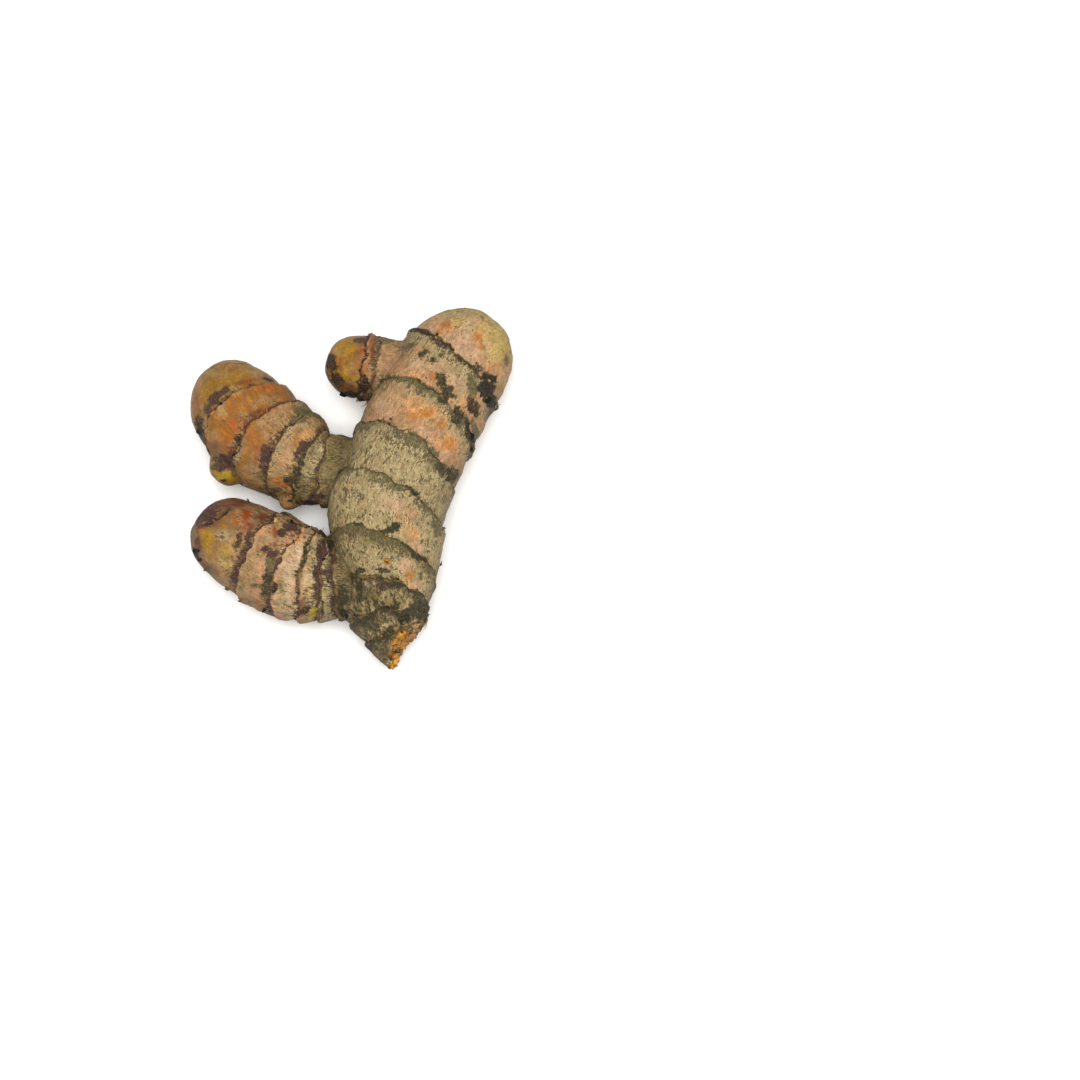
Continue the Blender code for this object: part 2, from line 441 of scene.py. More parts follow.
class Grown:
    """A limb with its centreline, half widths and directions sampled along its length, in mm."""

    def __init__(self, limb):
        self.limb = limb
        knots = np.array(limb.path, float)
        ends = np.vstack([2 * knots[0] - knots[1], knots, 2 * knots[-1] - knots[-2]])
        samples = [knots[:1]]
        for before, start, end, after in zip(ends, ends[1:], ends[2:], ends[3:]):
            count = max(2, math.ceil(np.linalg.norm((end - start)[:3]) / PATH_STEP))
            t = np.linspace(0, 1, count + 1)[1:, None]
            samples.append(
                0.5
                * (
                    2 * start
                    + (end - before) * t
                    + (2 * before - 5 * start + 4 * end - after) * t**2
                    + (3 * start - before - 3 * end + after) * t**3
                )
            )
        points = np.vstack(samples)
        self.centres, self.widths = points[:, :3], points[:, 3]
        steps = np.linalg.norm(np.diff(self.centres, axis=0), axis=1)
        self.stations = np.concatenate([[0.0], np.cumsum(steps)])
        self.length = self.stations[-1]
        ahead = self.along(self.stations + BEND_REACH, self.centres)
        behind = self.along(self.stations - BEND_REACH, self.centres)
        self.tangents = unit(ahead - behind)
        self.sides = unit(np.cross(self.tangents, (0.0, 0.0, 1.0)))
        self.ups = np.cross(self.sides, self.tangents)
        self.ring_lines = np.array([self.ring_line(ring) for ring in limb.rings])
        self.girths = np.array([self.girth(ring) for ring in limb.rings[:-1]] + [0.0])

    def along(self, station, values):
        """Sampled values read at distances along the limb."""
        if values.ndim == 1:
            return np.interp(station, self.stations, values)
        return np.stack([np.interp(station, self.stations, column) for column in values.T], -1)

    def ring_line(self, ring):
        """Where a ring runs, with its fine teeth, at each of the ring angles."""
        station, lean, bow = ring
        across, above = np.cos(RING_ANGLES), np.sin(RING_ANGLES)
        circle = np.stack([across, above, np.full_like(across, station)], -1)
        half_width = self.along(station, self.widths)
        line = station + half_width * (lean * across + bow * above)
        line += half_width * RING_WOBBLE * noise_at(circle * RING_WAVES)
        if station > 0:
            for size, height in RING_TEETH:
                line += height * noise_at(circle * half_width, size, station)
        return line

    def girth(self, ring):
        return GIRTH_CHANGE * noise.noise((ring[0], self.limb.cap, 0.5))

    def thickness(self, station):
        """The half width as a share of one that carries a full lip, at most 1."""
        return np.minimum(self.along(station, self.widths) / FULL_LIP_WIDTH, 1.0)

    def internodes(self, station, angle):
        """The internode at each place, and its distances past one ring and short of the next."""
        lines = [np.interp(angle, RING_ANGLES, line) for line in self.ring_lines]
        lines = np.array(lines + [np.full_like(station, self.length)])
        number = np.clip((station >= lines[:-1]).sum(0) - 1, 0, len(lines) - 2)
        before = np.take_along_axis(lines, number[None], 0)[0]
        after = np.take_along_axis(lines, number[None] + 1, 0)[0]
        return number, np.maximum(station - before, 0.0), np.maximum(after - station, 0.0)

    def dome(self, station):
        """Share of the half width left, from 1 before the cap to 0 at the apex."""
        into_cap = np.clip((station - self.length) / self.limb.cap + 1, 0, 1)
        return (1 - into_cap**self.limb.squareness) ** (1 / self.limb.squareness)

    def surface(self, station, angle, relief):
        """Points of the skin. Angle 0 is the limb's right side and 90 degrees its top."""
        centre = self.along(station, self.centres)
        half_width = self.along(station, self.widths)
        side = self.along(station, self.sides) * np.cos(angle)[:, None]
        up = self.along(station, self.ups) * np.sin(angle)[:, None]
        outward = side + up * FLATNESS
        rounding = self.dome(station)
        body = centre + outward * (half_width * rounding)[:, None]
        lump = 1 + LUMP_SHARE * noise_at(body, LUMP_SIZE)
        return centre + outward * ((half_width * lump + relief) * rounding)[:, None]

    def relief(self, station, angle):
        """Height of the stacked cups over the plain limb, with a rolled rim and a groove past it."""
        lip = self.limb.lip * self.thickness(station)
        total = np.zeros_like(station)
        for blur in RIM_BLUR:
            number, past, short = self.internodes(station + blur, angle)
            share = share_between(past, short)
            in_cap = number == len(self.ring_lines) - 1
            swell = np.where(in_cap, CAP_SWELL * share, np.interp(share, CUP_SHARES, CUP_SWELLS))
            roll = np.where(in_cap, 0.0, RIM_ROLL[1] * np.exp(-((short / RIM_ROLL[0]) ** 2)))
            groove = RIM_GROOVE[1] * np.exp(-((past / RIM_GROOVE[0]) ** 2))
            total += lip * swell + self.girths[number] + roll
            total -= np.where(number > 0, groove, 0.0)
        return total / len(RIM_BLUR)

    def locate(self, points):
        """Distance along the limb, angle round it and distance from its centreline."""
        sparse = slice(None, None, SEARCH_STRIDE)
        gaps = ((points[:, None] - self.centres[None, sparse]) ** 2).sum(-1)
        station = self.stations[sparse][gaps.argmin(1)]
        for _ in range(SEARCH_ROUNDS):
            offset = points - self.along(station, self.centres)
            ahead = (offset * self.along(station, self.tangents)).sum(-1)
            station = np.clip(station + SEARCH_STEP * ahead, 0.0, self.length)
        offset = points - self.along(station, self.centres)
        across = (offset * self.along(station, self.sides)).sum(-1)
        above = (offset * self.along(station, self.ups)).sum(-1) / FLATNESS
        return station, np.arctan2(above, across), np.hypot(across, above)

    def shell(self):
        """Corners and faces of the plain limb, closed by a flat root end and a pointed fan."""
        angles = np.linspace(-math.pi, math.pi, SHELL_COLUMNS, endpoint=False)
        start = np.interp(angles, RING_ANGLES, self.ring_lines[0])
        shares = 1 - (1 - np.linspace(0, SHELL_END, SHELL_ROWS)) ** 2
        stations = start + shares[:, None] * (self.length - start)
        angle_grid = np.broadcast_to(angles, stations.shape)
        points = self.surface(stations.ravel(), angle_grid.ravel(), 0.0)
        root_centre = points[:SHELL_COLUMNS].mean(0)
        corners = np.vstack([points, root_centre, self.centres[-1]])
        return corners, shell_faces(SHELL_ROWS, SHELL_COLUMNS)


def strip_faces(low, high, columns):
    """Faces between two rings of corners that start at the given numbers."""
    column = np.arange(columns)
    beside = (column + 1) % columns
    return np.stack([low + beside, low + column, high + column, high + beside], 1).tolist()


def shell_faces(rows, columns):
    """Faces of a closed tube whose last two corners are the middles of its ends."""
    root_centre = rows * columns
    apex = root_centre + 1
    last = root_centre - columns
    pairs = [(column, (column + 1) % columns) for column in range(columns)]
    faces = [(root_centre, a, b) for a, b in pairs]
    for row in range(rows - 1):
        faces += strip_faces(row * columns, (row + 1) * columns, columns)
    return faces + [(last + b, last + a, apex) for a, b in pairs]


def gathered(forms):
    """The corners and faces of several forms as those of one."""
    corners, faces, shift = [], [], 0
    for form_corners, form_faces in forms:
        corners.append(form_corners)
        faces += [[index + shift for index in face] for face in form_faces]
        shift += len(form_corners)
    return np.vstack(corners), faces


def bud_limb(number, root, apex, root_half_width, tip_half_width, tones):
    """A bud as a short limb with no rings of its own."""
    return Limb(
        name=f"bud_{number}",
        path=[(*root, root_half_width), (*apex, tip_half_width)],
        rings=[(0.0, 0.0, 0.0)],
        cap=BUD_CAP,
        squareness=BUD_SQUARENESS,
        lip=0.0,
        tones=[tones],
        bands=[],
        beyond=False,
        streaks=0,
    )


def mesh_object(name, corners, faces, scale=MM):
    mesh = bpy.data.meshes.new(name)
    mesh.from_pydata((corners * scale).tolist(), [], faces)
    mesh.update()
    made = bpy.data.objects.new(name, mesh)
    bpy.context.scene.collection.objects.link(made)
    return made


def read(rows, name, width, kind=np.float32):
    """A mesh's own numbers as an array with one row for each corner or edge."""
    values = np.zeros(len(rows) * width, kind)
    rows.foreach_get(name, values)
    return values.reshape(-1, width)


def write_points(mesh, points):
    mesh.vertices.foreach_set("co", points.astype(np.float32).ravel())
    mesh.update()


def write(mesh, name, kind, field, values):
    """Stores an attribute with one value for each corner."""
    attribute = mesh.attributes.new(name, kind, "POINT")
    attribute.data.foreach_set(field, values.astype(np.float32).ravel())


def write_colour(mesh, name, colours):
    four = np.concatenate([np.clip(colours, 0, 1), np.ones((len(colours), 1))], 1)
    write(mesh, name, "FLOAT_COLOR", "color", four)


def relaxed(points, edges, weights, rounds):
    """Points moved towards the middle of their neighbours, by a weight each, several times."""
    count = len(points)
    both = np.concatenate([edges, edges[:, ::-1]])
    neighbours = np.bincount(both[:, 0], minlength=count)
    for _ in range(rounds):
        sums = [np.bincount(both[:, 0], points[both[:, 1], axis], count) for axis in range(3)]
        middle = np.stack(sums, -1) / neighbours[:, None]
        points = points + weights[:, None] * (middle - points)
    return points


def remeshed(shells):
    """One closed mesh round all the limbs' shells, in mm."""
    skin = mesh_object("turmeric_skin", *gathered(shells), scale=1.0)
    modifier = skin.modifiers.new("fuse", "REMESH")
    modifier.mode = "VOXEL"
    modifier.voxel_size = VOXEL
    bpy.context.view_layer.objects.active = skin
    bpy.ops.object.modifier_apply(modifier=modifier.name)
    return skin


def shell_distances(points, shells):
    """Distance of each point from each limb's plain shell, far where its box is out of reach."""
    distances = np.full((len(shells), len(points)), FAR)
    for row, (corners, faces) in zip(distances, shells):
        low, high = corners.min(0) - LIMB_FILLET, corners.max(0) + LIMB_FILLET
        near = np.flatnonzero(((points > low) & (points < high)).all(1))
        tree = BVHTree.FromPolygons(corners.tolist(), faces)
        row[near] = [tree.find_nearest(point)[3] for point in points[near].tolist()]
    return distances


def paint_over(paint, rows, name, cover):
    """Lays a tone on some rows of the paint, as bark if it is dark and on the bare skin if not."""
    tone = TONES[name]
    if name in BARK_TONES:
        taken = (cover / np.maximum(cover, paint[rows, COVER] + TINY))[:, None]
        paint[rows, BARK] += taken * (tone[:3] - paint[rows, BARK])
        paint[rows, SKIN] += UNDER_BARK * cover[:, None] * (TONES["olive"] - paint[rows, SKIN])
        paint[rows, COVER] = np.maximum(paint[rows, COVER], cover)
    else:
        paint[rows, SKIN] += cover[:, None] * (tone - paint[rows, SKIN])
        paint[rows, COVER] *= 1 - BARED * cover


def limb_paint(grown, place, angle, points):
    """A limb's paint, from its internodes' tones, their streaks and the dark rims at its rings."""
    limb = grown.limb
    number, past, short = grown.internodes(place[:, 0], angle)
    drift = noise_at(points, *DRIFT)
    grain = noise_at(points, *GRAIN)
    young, old = [np.array([TONES[name] for name in tones])[number] for tones in zip(*limb.tones)]
    age = share_between(past, short) + AGE_DRIFT * drift + AGE_GRAIN * grain
    paint = np.zeros((len(points), COLUMNS))
    paint[:, SKIN] = young + smoothstep(*AGEING, age)[:, None] * (old - young)
    paint[:, BARK] = TONES["slate"][:3]
    for name, size, seed, low, strength in MOTTLES:
        mottle = noise_at(points, size, seed) + MOTTLE_GRAIN * grain
        paint_over(paint, ALL, name, strength * smoothstep(low, low + MOTTLE_EDGE, mottle))
    for name, size, seed, low, strength in STREAKS:
        streak = noise_at(place / STREAK_STRETCH, size, seed) + STREAK_GRAIN * grain
        cover = smoothstep(low, low + STREAK_EDGE, streak) * (number < limb.streaks)
        paint_over(paint, ALL, name, strength * cover)
    if limb.bands:
        add_bands(paint, limb, number, past, short, drift, grain)
    return paint


def add_bands(paint, limb, number, past, short, drift, grain):
    """Lays the ragged dark rim at each ring, with more speckles round it and a pale edge."""
    owner = number - 1 if limb.beyond else number
    gap, other = (past, short) if limb.beyond else (short, past)
    has_band = (owner >= 0) & (owner < len(limb.bands))
    owner = np.clip(owner, 0, len(limb.bands) - 1)
    names, widths, strengths = zip(*limb.bands)
    colour = np.array([TONES[name][:3] for name in names])[owner]
    width = BAND_SPREAD * np.array(widths)[owner]
    strength = np.where(has_band, np.array(strengths)[owner], 0.0)
    reach = np.maximum(width * (1.0 + BAND_DRIFT * drift + BAND_GRAIN * grain), BAND_LEAST)
    paint[:, BARK] = np.where(has_band[:, None], colour, paint[:, BARK])
    paint[:, COVER] = np.maximum(paint[:, COVER], strength * smoothstep(*BAND_FADE, gap / reach))
    speckles = smoothstep(RIM_SPECKLE_REACH * width, 0.0, gap)
    paint[:, SPECKLED] += RIM_SPECKLES * has_band * speckles
    at_edge = number < len(limb.rings) - 1 if limb.beyond else number > 0
    pale = at_edge * smoothstep(*PALE_WIDTH, other) * smoothstep(*PALE_SHOWN, drift + grain)
    paint_over(paint, ALL, "cream", PALE_STRENGTH * pale)


def photo_pixels(points):
    """Where the photograph's camera sees each point, in pixels."""
    offset = points - EYE
    pixels_per_mm = FOCAL_PIXELS / -(offset @ BACKWARD)
    right = pixels_per_mm * (offset @ RIGHT)
    upward = pixels_per_mm * (offset @ UPWARD)
    return np.stack([PHOTO_SIZE / 2 + right, PHOTO_SIZE / 2 - upward], -1)


# Marks on the side that the photograph shows: (x, y, half width, half height, turn, tone, strength).
# Places and sizes are pixels of the photograph, and the turn is in degrees anticlockwise.
CAP_MARKS = [
    (445, 328, 13, 8, 0, "peach", 0.9),
    (438, 332, 5, 4, 0, "orange", 0.6),
    (447, 326, 6, 4, 0, "orange", 0.6),
    (479, 337, 9, 10, 0, "peach", 0.85),
    (478, 337, 5, 5, 0, "orange", 0.8),
    (481, 348, 4, 4, 0, "orange", 0.7),
    (467, 334, 4, 13, 0, "cream", 0.7),
    (465, 350, 8, 9, 0, "pink", 0.7),
    (453, 346, 9, 6, 0, "pink", 0.7),
    (458, 316, 18, 5, 0, "khaki", 0.6),
    (498, 340, 12, 18, 0, "straw", 0.95),
    (505, 354, 6, 9, 0, "gold", 0.35),
    (483, 359, 7, 6, 0, "rose", 0.7),
    (491, 368, 10, 7, 20, "peach", 0.85),
    (485, 374, 5, 5, 0, "rose", 0.6),
    (499, 376, 6, 6, 0, "peach", 0.7),
    (497, 388, 7, 6, 30, "gold", 0.8),
    (505, 362, 3, 6, 0, "bark", 0.8),
    (425, 335, 12, 2.5, -20, "umber", 0.9),
    (437, 340, 5, 3, 0, "plum", 0.8),
    (449, 348, 8, 2.5, -38, "umber", 0.9),
    (459, 358, 6, 2.5, -50, "slate", 0.9),
]
MOTHER_MARKS = [
    (411, 348, 6, 4, 10, "bark", 0.8),
    (424, 355, 5, 2.5, 30, "slate", 0.9),
    (434, 362, 4, 3, 0, "slate", 0.9),
    (441, 357, 4, 2, 20, "bark", 0.8),
    (391, 366, 11, 8, 0, "rose", 0.8),
    (419, 368, 8, 5, 0, "cream", 0.5),
    (415, 378, 9, 4, -10, "peach", 0.7),
    (437, 370, 9, 6, 0, "pink", 0.8),
    (433, 378, 5, 4, 0, "orange", 0.7),
    (455, 382, 6, 9, 20, "pink", 0.8),
    (463, 404, 5, 6, 0, "peach", 0.6),
    (441, 382, 4.5, 7, 0, "slate", 1.0),
    (446, 392, 7, 6, 30, "slate", 1.0),
    (442, 401, 5, 4, 0, "slate", 0.8),
    (453, 397, 3, 3, 0, "slate", 0.8),
    (471, 388, 4, 12, 15, "grey_green", 0.7),
    (471, 406, 5, 10, 10, "soot", 0.75),
    (477, 370, 5, 5, 0, "slate", 0.7),
    (487, 380, 7, 6, 0, "soot", 0.95),
    (485, 391, 8, 10, 10, "soot", 1.0),
    (489, 402, 5, 5, 0, "soot", 1.0),
    (493, 380, 5, 2.5, -20, "umber", 0.9),
    (405, 381, 15, 4, -8, "grey_green", 0.75),
    (425, 388, 11, 4, -18, "grey_green", 0.75),
    (459, 414, 8, 5, -30, "slate", 0.75),
    (453, 420, 5, 6, 0, "slate", 0.7),
    (465, 422, 4, 7, 0, "slate", 0.8),
    (386, 409, 14, 11, 0, "pink", 0.65),
    (411, 404, 10, 6, 0, "peach", 0.6),
    (421, 412, 15, 9, -15, "peach", 0.9),
    (425, 414, 8, 5, -10, "orange", 0.8),
    (413, 419, 8, 5, 0, "orange", 0.7),
    (418, 425, 9, 4, -25, "rose", 0.7),
    (438, 425, 8, 5, -20, "orange", 0.75),
    (440, 420, 6, 5, 0, "peach", 0.7),
    (423, 433, 12, 4, -30, "pink", 0.75),
    (446, 446, 11, 11, 0, "peach", 0.85),
    (447, 444, 7, 7, 0, "orange", 0.7),
    (443, 458, 8, 7, 0, "pink", 0.7),
    (446, 470, 7, 6, 0, "tan", 0.7),
    (450, 430, 4, 7, 0, "khaki", 0.6),
    (466, 433, 4, 8, 10, "soot", 0.9),
    (470, 443, 4, 8, 5, "soot", 0.9),
    (474, 430, 3, 9, 10, "grey_green", 0.7),
    (458, 449, 3, 9, 10, "khaki", 0.6),
    (415, 438, 12, 4, -30, "grey_green", 0.7),
    (432, 453, 4, 8, 28, "grey_green", 0.7),
    (438, 468, 3.5, 8, 20, "slate", 0.75),
    (449, 474, 6, 8, 15, "slate", 0.75),
    (341, 462, 12, 10, 0, "olive", 0.5),
    (393, 507, 13, 9, 0, "pink", 0.85),
    (409, 515, 7, 8, 15, "rose", 0.75),
    (411, 534, 7, 12, 18, "peach", 0.75),
    (418, 549, 7, 10, 15, "pink", 0.75),
    (422, 562, 5, 6, 0, "tan", 0.6),
    (398, 517, 2.5, 2, 0, "orange", 0.8),
    (395, 527, 4, 4, 0, "slate", 1.0),
    (389, 531, 8, 2.5, 5, "slate", 0.95),
    (357, 520, 16, 9, 0, "khaki", 0.5),
    (358, 547, 16, 9, 0, "khaki", 0.5),
    (362, 531, 18, 2.5, 0, "bark", 0.7),
    (406, 547, 7, 2.5, -48, "slate", 0.75),
    (414, 557, 7, 3, -45, "slate", 0.85),
    (421, 559, 4, 3, 0, "slate", 0.9),
    (413, 494, 8, 3, -45, "slate", 0.8),
    (424, 509, 3.5, 8, 20, "grey_green", 0.8),
    (432, 528, 3, 9, 15, "grey_green", 0.7),
    (383, 557, 11, 8, 0, "khaki", 0.6),
    (404, 567, 8, 8, 0, "pink", 0.75),
    (414, 586, 8, 6, -40, "pink", 0.8),
    (407.5, 576, 5, 7, 0, "orange", 0.85),
    (419, 576, 2, 5, 0, "bark", 0.7),
    (360, 571, 5, 3, 0, "slate", 0.7),
    (384, 571, 6, 3, 0, "plum", 0.9),
    (395, 580, 8, 2.5, -33, "slate", 0.85),
    (413, 595, 9, 1.8, -38, "slate", 0.9),
    (426, 580, 3, 9, 0, "khaki", 0.6),
    (360, 589, 5, 10, 0, "slate", 0.6),
    (370, 593, 10, 7, 0, "bark", 0.5),
    (381, 587, 8, 4, 0, "plum", 0.6),
    (391, 594, 8, 5, 0, "khaki", 0.6),
    (404, 598, 8, 5, 0, "khaki", 0.5),
    (418, 606, 6, 6, 0, "slate", 0.7),
    (391, 609, 11, 2.5, 5, "slate", 0.85),
    (375, 622, 8, 7, 0, "bark", 0.5),
    (392, 620, 9, 5, 0, "khaki", 0.5),
    (387, 633, 9, 3.5, 35, "slate", 0.6),
    (404, 620, 5, 5, 0, "soot", 0.6),
    (412, 628, 7, 4, 40, "cream", 0.85),
    (396, 646, 3, 8, -15, "khaki", 0.6),
    (371, 646, 3, 4, 0, "soot", 0.8),
    (389, 664, 3, 2, 0, "cream", 0.7),
    (341, 598, 8, 12, 0, "slate", 0.8),
    (341, 612, 7, 4, 0, "soot", 0.8),
    (331, 549, 4, 8, 0, "soot", 0.9),
]
UPPER_FINGER_MARKS = [
    (233, 377, 18, 7, 10, "gold", 0.35),
    (209, 386, 10, 10, 0, "gold", 0.5),
    (196, 405, 4, 14, 0, "rust", 0.5),
    (247, 382, 16, 2.5, 10, "rust", 0.85),
    (268, 380, 9, 1.7, -15, "umber", 0.9),
    (222, 392, 8, 3.5, 35, "plum", 0.95),
    (214, 400, 5, 6, 50, "plum", 0.9),
    (207, 410, 4, 7, -15, "plum", 0.85),
    (199, 422, 5, 6, 0, "umber", 0.6),
    (199, 433, 4, 8, 0, "soot", 0.85),
    (264, 390, 16, 6, 8, "burnt", 0.8),
    (248, 397, 15, 8, 22, "copper", 0.9),
    (282, 394, 8, 5, -15, "copper", 0.8),
    (229, 408, 8, 8, 30, "copper", 0.9),
    (222, 414, 5, 4, 0, "khaki", 0.6),
    (234, 427, 7, 7, 0, "burnt", 1.0),
    (227, 440, 6, 8, 10, "burnt", 0.9),
    (224, 432, 4, 5, 0, "orange", 0.6),
    (214, 427, 7, 9, 0, "ochre", 0.6),
    (212, 444, 6, 8, 0, "maroon", 0.4),
    (205, 447, 3.5, 11, 0, "slate", 0.6),
    (281, 405, 7, 2.5, 15, "maroon", 0.7),
    (256, 413, 9, 2.5, 25, "maroon", 0.85),
    (246, 424, 4, 5, 30, "maroon", 0.85),
    (238, 440, 3.5, 7, -15, "umber", 0.6),
    (225, 461, 13, 7, 0, "plum", 0.8),
    (217, 468, 8, 4, 0, "plum", 0.7),
    (243, 460, 8, 9, 0, "ochre", 0.6),
    (225, 477, 9, 4, 0, "lemon", 0.95),
    (232, 477, 5, 4, 0, "gold", 0.7),
    (212, 476, 3, 3, 0, "olive", 0.7),
    (223, 481, 2.5, 1.3, 0, "umber", 0.95),
    (299, 405, 10, 5, -30, "khaki", 0.9),
    (289, 403, 6, 2.5, 0, "bark", 0.5),
    (281, 412, 8, 5, 10, "rose", 0.75),
    (271, 419, 8, 6, 20, "tan", 0.8),
    (262, 425, 7, 6, 45, "tan", 0.8),
    (283, 426, 5, 6, 0, "tan", 0.95),
    (255, 440, 9, 9, 0, "copper", 0.95),
    (252, 436, 5, 5, 0, "burnt", 0.7),
    (259, 450, 6, 6, 0, "burnt", 0.85),
    (257, 460, 4, 5, 0, "rust", 0.7),
    (239, 453, 4, 8, -10, "khaki", 0.75),
    (265, 457, 5, 9, -5, "plum", 1.0),
    (263, 467, 4, 5, 0, "plum", 0.7),
    (254, 468, 7, 6, 0, "tan", 0.7),
    (265, 477, 10, 4, -20, "bark", 0.6),
    (307, 416, 13, 3.5, -15, "grey_green", 0.95),
    (297, 422, 6, 4, 0, "grey_green", 0.8),
    (303, 427, 10, 1.2, 10, "khaki", 0.8),
    (287, 434, 5, 7, 0, "khaki", 0.7),
    (278, 447, 4, 10, 0, "khaki", 0.6),
    (307, 435, 8, 5, 15, "peach", 0.9),
    (297, 444, 5, 6, 0, "orange", 0.6),
    (303, 447, 5, 4, 45, "plum", 0.85),
    (297, 455, 3, 7, -20, "plum", 0.85),
    (286, 460, 6, 10, 0, "rose", 0.8),
    (281, 469, 6, 6, 0, "tan", 0.7),
    (278, 478, 5, 4, 0, "orange", 0.85),
    (285, 483, 6, 5, -20, "burnt", 0.85),
    (289, 492, 6, 6, 0, "orange", 0.6),
    (287, 481, 4, 1.3, -35, "umber", 0.9),
    (275, 489, 5, 4, 0, "bark", 0.5),
    (290, 501, 3, 1.6, 0, "umber", 0.9),
    (318, 432, 4, 3, 0, "maroon", 0.9),
    (318, 450, 4, 12, 0, "khaki", 0.8),
    (321.5, 452, 1.3, 10, 0, "cream", 0.8),
    (300, 463, 3, 9, -15, "slate", 0.85),
    (297, 476, 4, 10, 0, "slate", 0.7),
    (310, 472, 7, 12, 0, "khaki", 0.6),
    (316, 496, 8, 4, 0, "plum", 0.85),
    (306, 503, 12, 2.5, 0, "soot", 0.9),
]
LOWER_FINGER_MARKS = [
    (208, 515, 13, 10, 10, "plum", 0.8),
    (220, 507, 15, 5, 10, "maroon", 0.65),
    (238, 504, 12, 4, -5, "maroon", 0.75),
    (202, 531, 4, 3, 0, "orange", 0.8),
    (208, 541, 8, 12, 0, "gold", 0.95),
    (224, 526, 6, 8, 0, "ochre", 0.8),
    (223, 535, 7, 6, 0, "khaki", 0.7),
    (223, 546, 8, 5, 0, "ochre", 0.7),
    (227, 553, 7, 6, 0, "lemon", 0.6),
    (214, 555, 8, 6, 0, "ochre", 0.8),
    (226, 565, 7, 5, 0, "straw", 0.6),
    (208, 525, 7, 1.3, 12, "umber", 0.95),
    (217, 520, 3, 2, 0, "umber", 0.85),
    (226, 514, 7, 1.3, 38, "umber", 0.9),
    (235, 520, 4, 8, 0, "copper", 1.0),
    (245, 519, 7, 9, 0, "rust", 1.0),
    (251, 527, 5, 8, 15, "maroon", 0.8),
    (261, 517, 9, 6, 20, "maroon", 0.9),
    (243, 529, 5, 6, 0, "rust", 0.7),
    (239, 540, 4, 9, 0, "plum", 0.85),
    (235, 547, 2.5, 6, 0, "bark", 0.7),
    (236, 562, 3, 8, 0, "tan", 0.6),
    (236, 577, 5, 8, 0, "plum", 0.9),
    (209, 568, 6, 4, -30, "bark", 0.85),
    (218, 571, 6, 4, -30, "rust", 0.4),
    (223, 580, 8, 4, -35, "tan", 0.8),
    (232, 588, 5, 5, -40, "rust", 0.7),
    (196, 555, 2.5, 7, 20, "soot", 0.95),
    (260, 534, 6, 8, -25, "peach", 0.85),
    (269, 526, 5, 6, 0, "rose", 0.7),
    (256, 544, 5, 6, 0, "pink", 0.8),
    (259, 549, 2.5, 2.5, 0, "burnt", 0.7),
    (253, 558, 7, 6, 0, "tan", 0.6),
    (251, 571, 7, 9, 0, "olive", 0.3),
    (260, 568, 5, 8, 0, "rose", 0.8),
    (257, 585, 6, 2.5, 0, "bark", 0.7),
    (245, 584, 5, 8, 0, "olive", 0.6),
    (260, 601, 7, 4, -25, "orange", 0.65),
    (251, 595, 6, 5, -25, "tan", 0.6),
    (275, 535, 4, 8, 0, "rust", 0.95),
    (275, 546, 6, 4, 0, "maroon", 1.0),
    (266, 550, 5, 3.5, 0, "plum", 0.95),
    (272, 556, 5, 4, 0, "plum", 0.9),
    (271, 566, 4, 7, 0, "grey_green", 0.85),
    (267, 578, 3.5, 8, 0, "slate", 0.85),
    (266, 587, 4, 6, 0, "slate", 0.75),
    (269, 598, 5, 5, 0, "bark", 0.8),
    (281, 535, 4, 4, 0, "slate", 0.8),
    (289, 529, 8, 5, -5, "plum", 0.95),
    (298, 522, 7, 2.5, -10, "soot", 0.85),
    (303, 531, 2, 2, 0, "straw", 0.9),
    (298, 540, 7, 5, 35, "peach", 0.9),
    (290, 546, 5, 5, 40, "peach", 0.75),
    (283, 556, 5, 5, 0, "straw", 0.7),
    (287, 569, 8, 8, 0, "cream", 0.85),
    (292, 583, 5, 9, 0, "pink", 0.85),
    (293, 598, 4, 6, 0, "rose", 0.6),
    (281, 586, 4, 8, 0, "olive", 0.95),
    (275, 588, 3, 5, 0, "soot", 0.75),
    (281, 603, 6, 5, 0, "khaki", 0.7),
    (298.5, 588, 1.6, 14, 0, "maroon", 0.95),
    (301, 574, 1.5, 6, 0, "bark", 0.8),
    (305, 553, 2, 9, 0, "slate", 0.85),
    (311, 551, 5, 8, 0, "khaki", 0.85),
    (314, 542, 5, 4, 0, "cream", 0.6),
    (308, 580, 6, 10, 0, "cream", 0.75),
    (310, 590, 4, 6, 0, "straw", 0.7),
    (302, 604, 5, 7, -25, "maroon", 0.8),
    (305, 609, 6, 3, 20, "umber", 0.8),
    (314, 613, 5, 7, 0, "lemon", 1.0),
    (310, 618, 4, 3, 0, "lemon", 0.8),
    (319, 553, 3.5, 7, 0, "plum", 1.0),
    (317, 574, 4, 6, 0, "plum", 1.0),
    (320, 584, 3, 8, 0, "plum", 0.95),
    (320, 596, 3, 6, 0, "plum", 0.85),
    (322, 607, 2.5, 8, 0, "umber", 0.7),
    (328, 563, 4, 10, 0, "khaki", 0.6),
    (329, 586, 5, 12, 0, "khaki", 0.6),
    (281, 516, 8, 5, -20, "plum", 0.85),
    (293, 517, 8, 4, -20, "plum", 0.9),
    (305, 522, 8, 4, -25, "soot", 0.9),
    (318, 527, 8, 5, -30, "soot", 0.9),
    (320, 532, 9, 5, -30, "soot", 0.95),
    (313, 527, 8, 3, -20, "soot", 0.9),
    (329, 545, 5, 4, 0, "soot", 0.8),
]
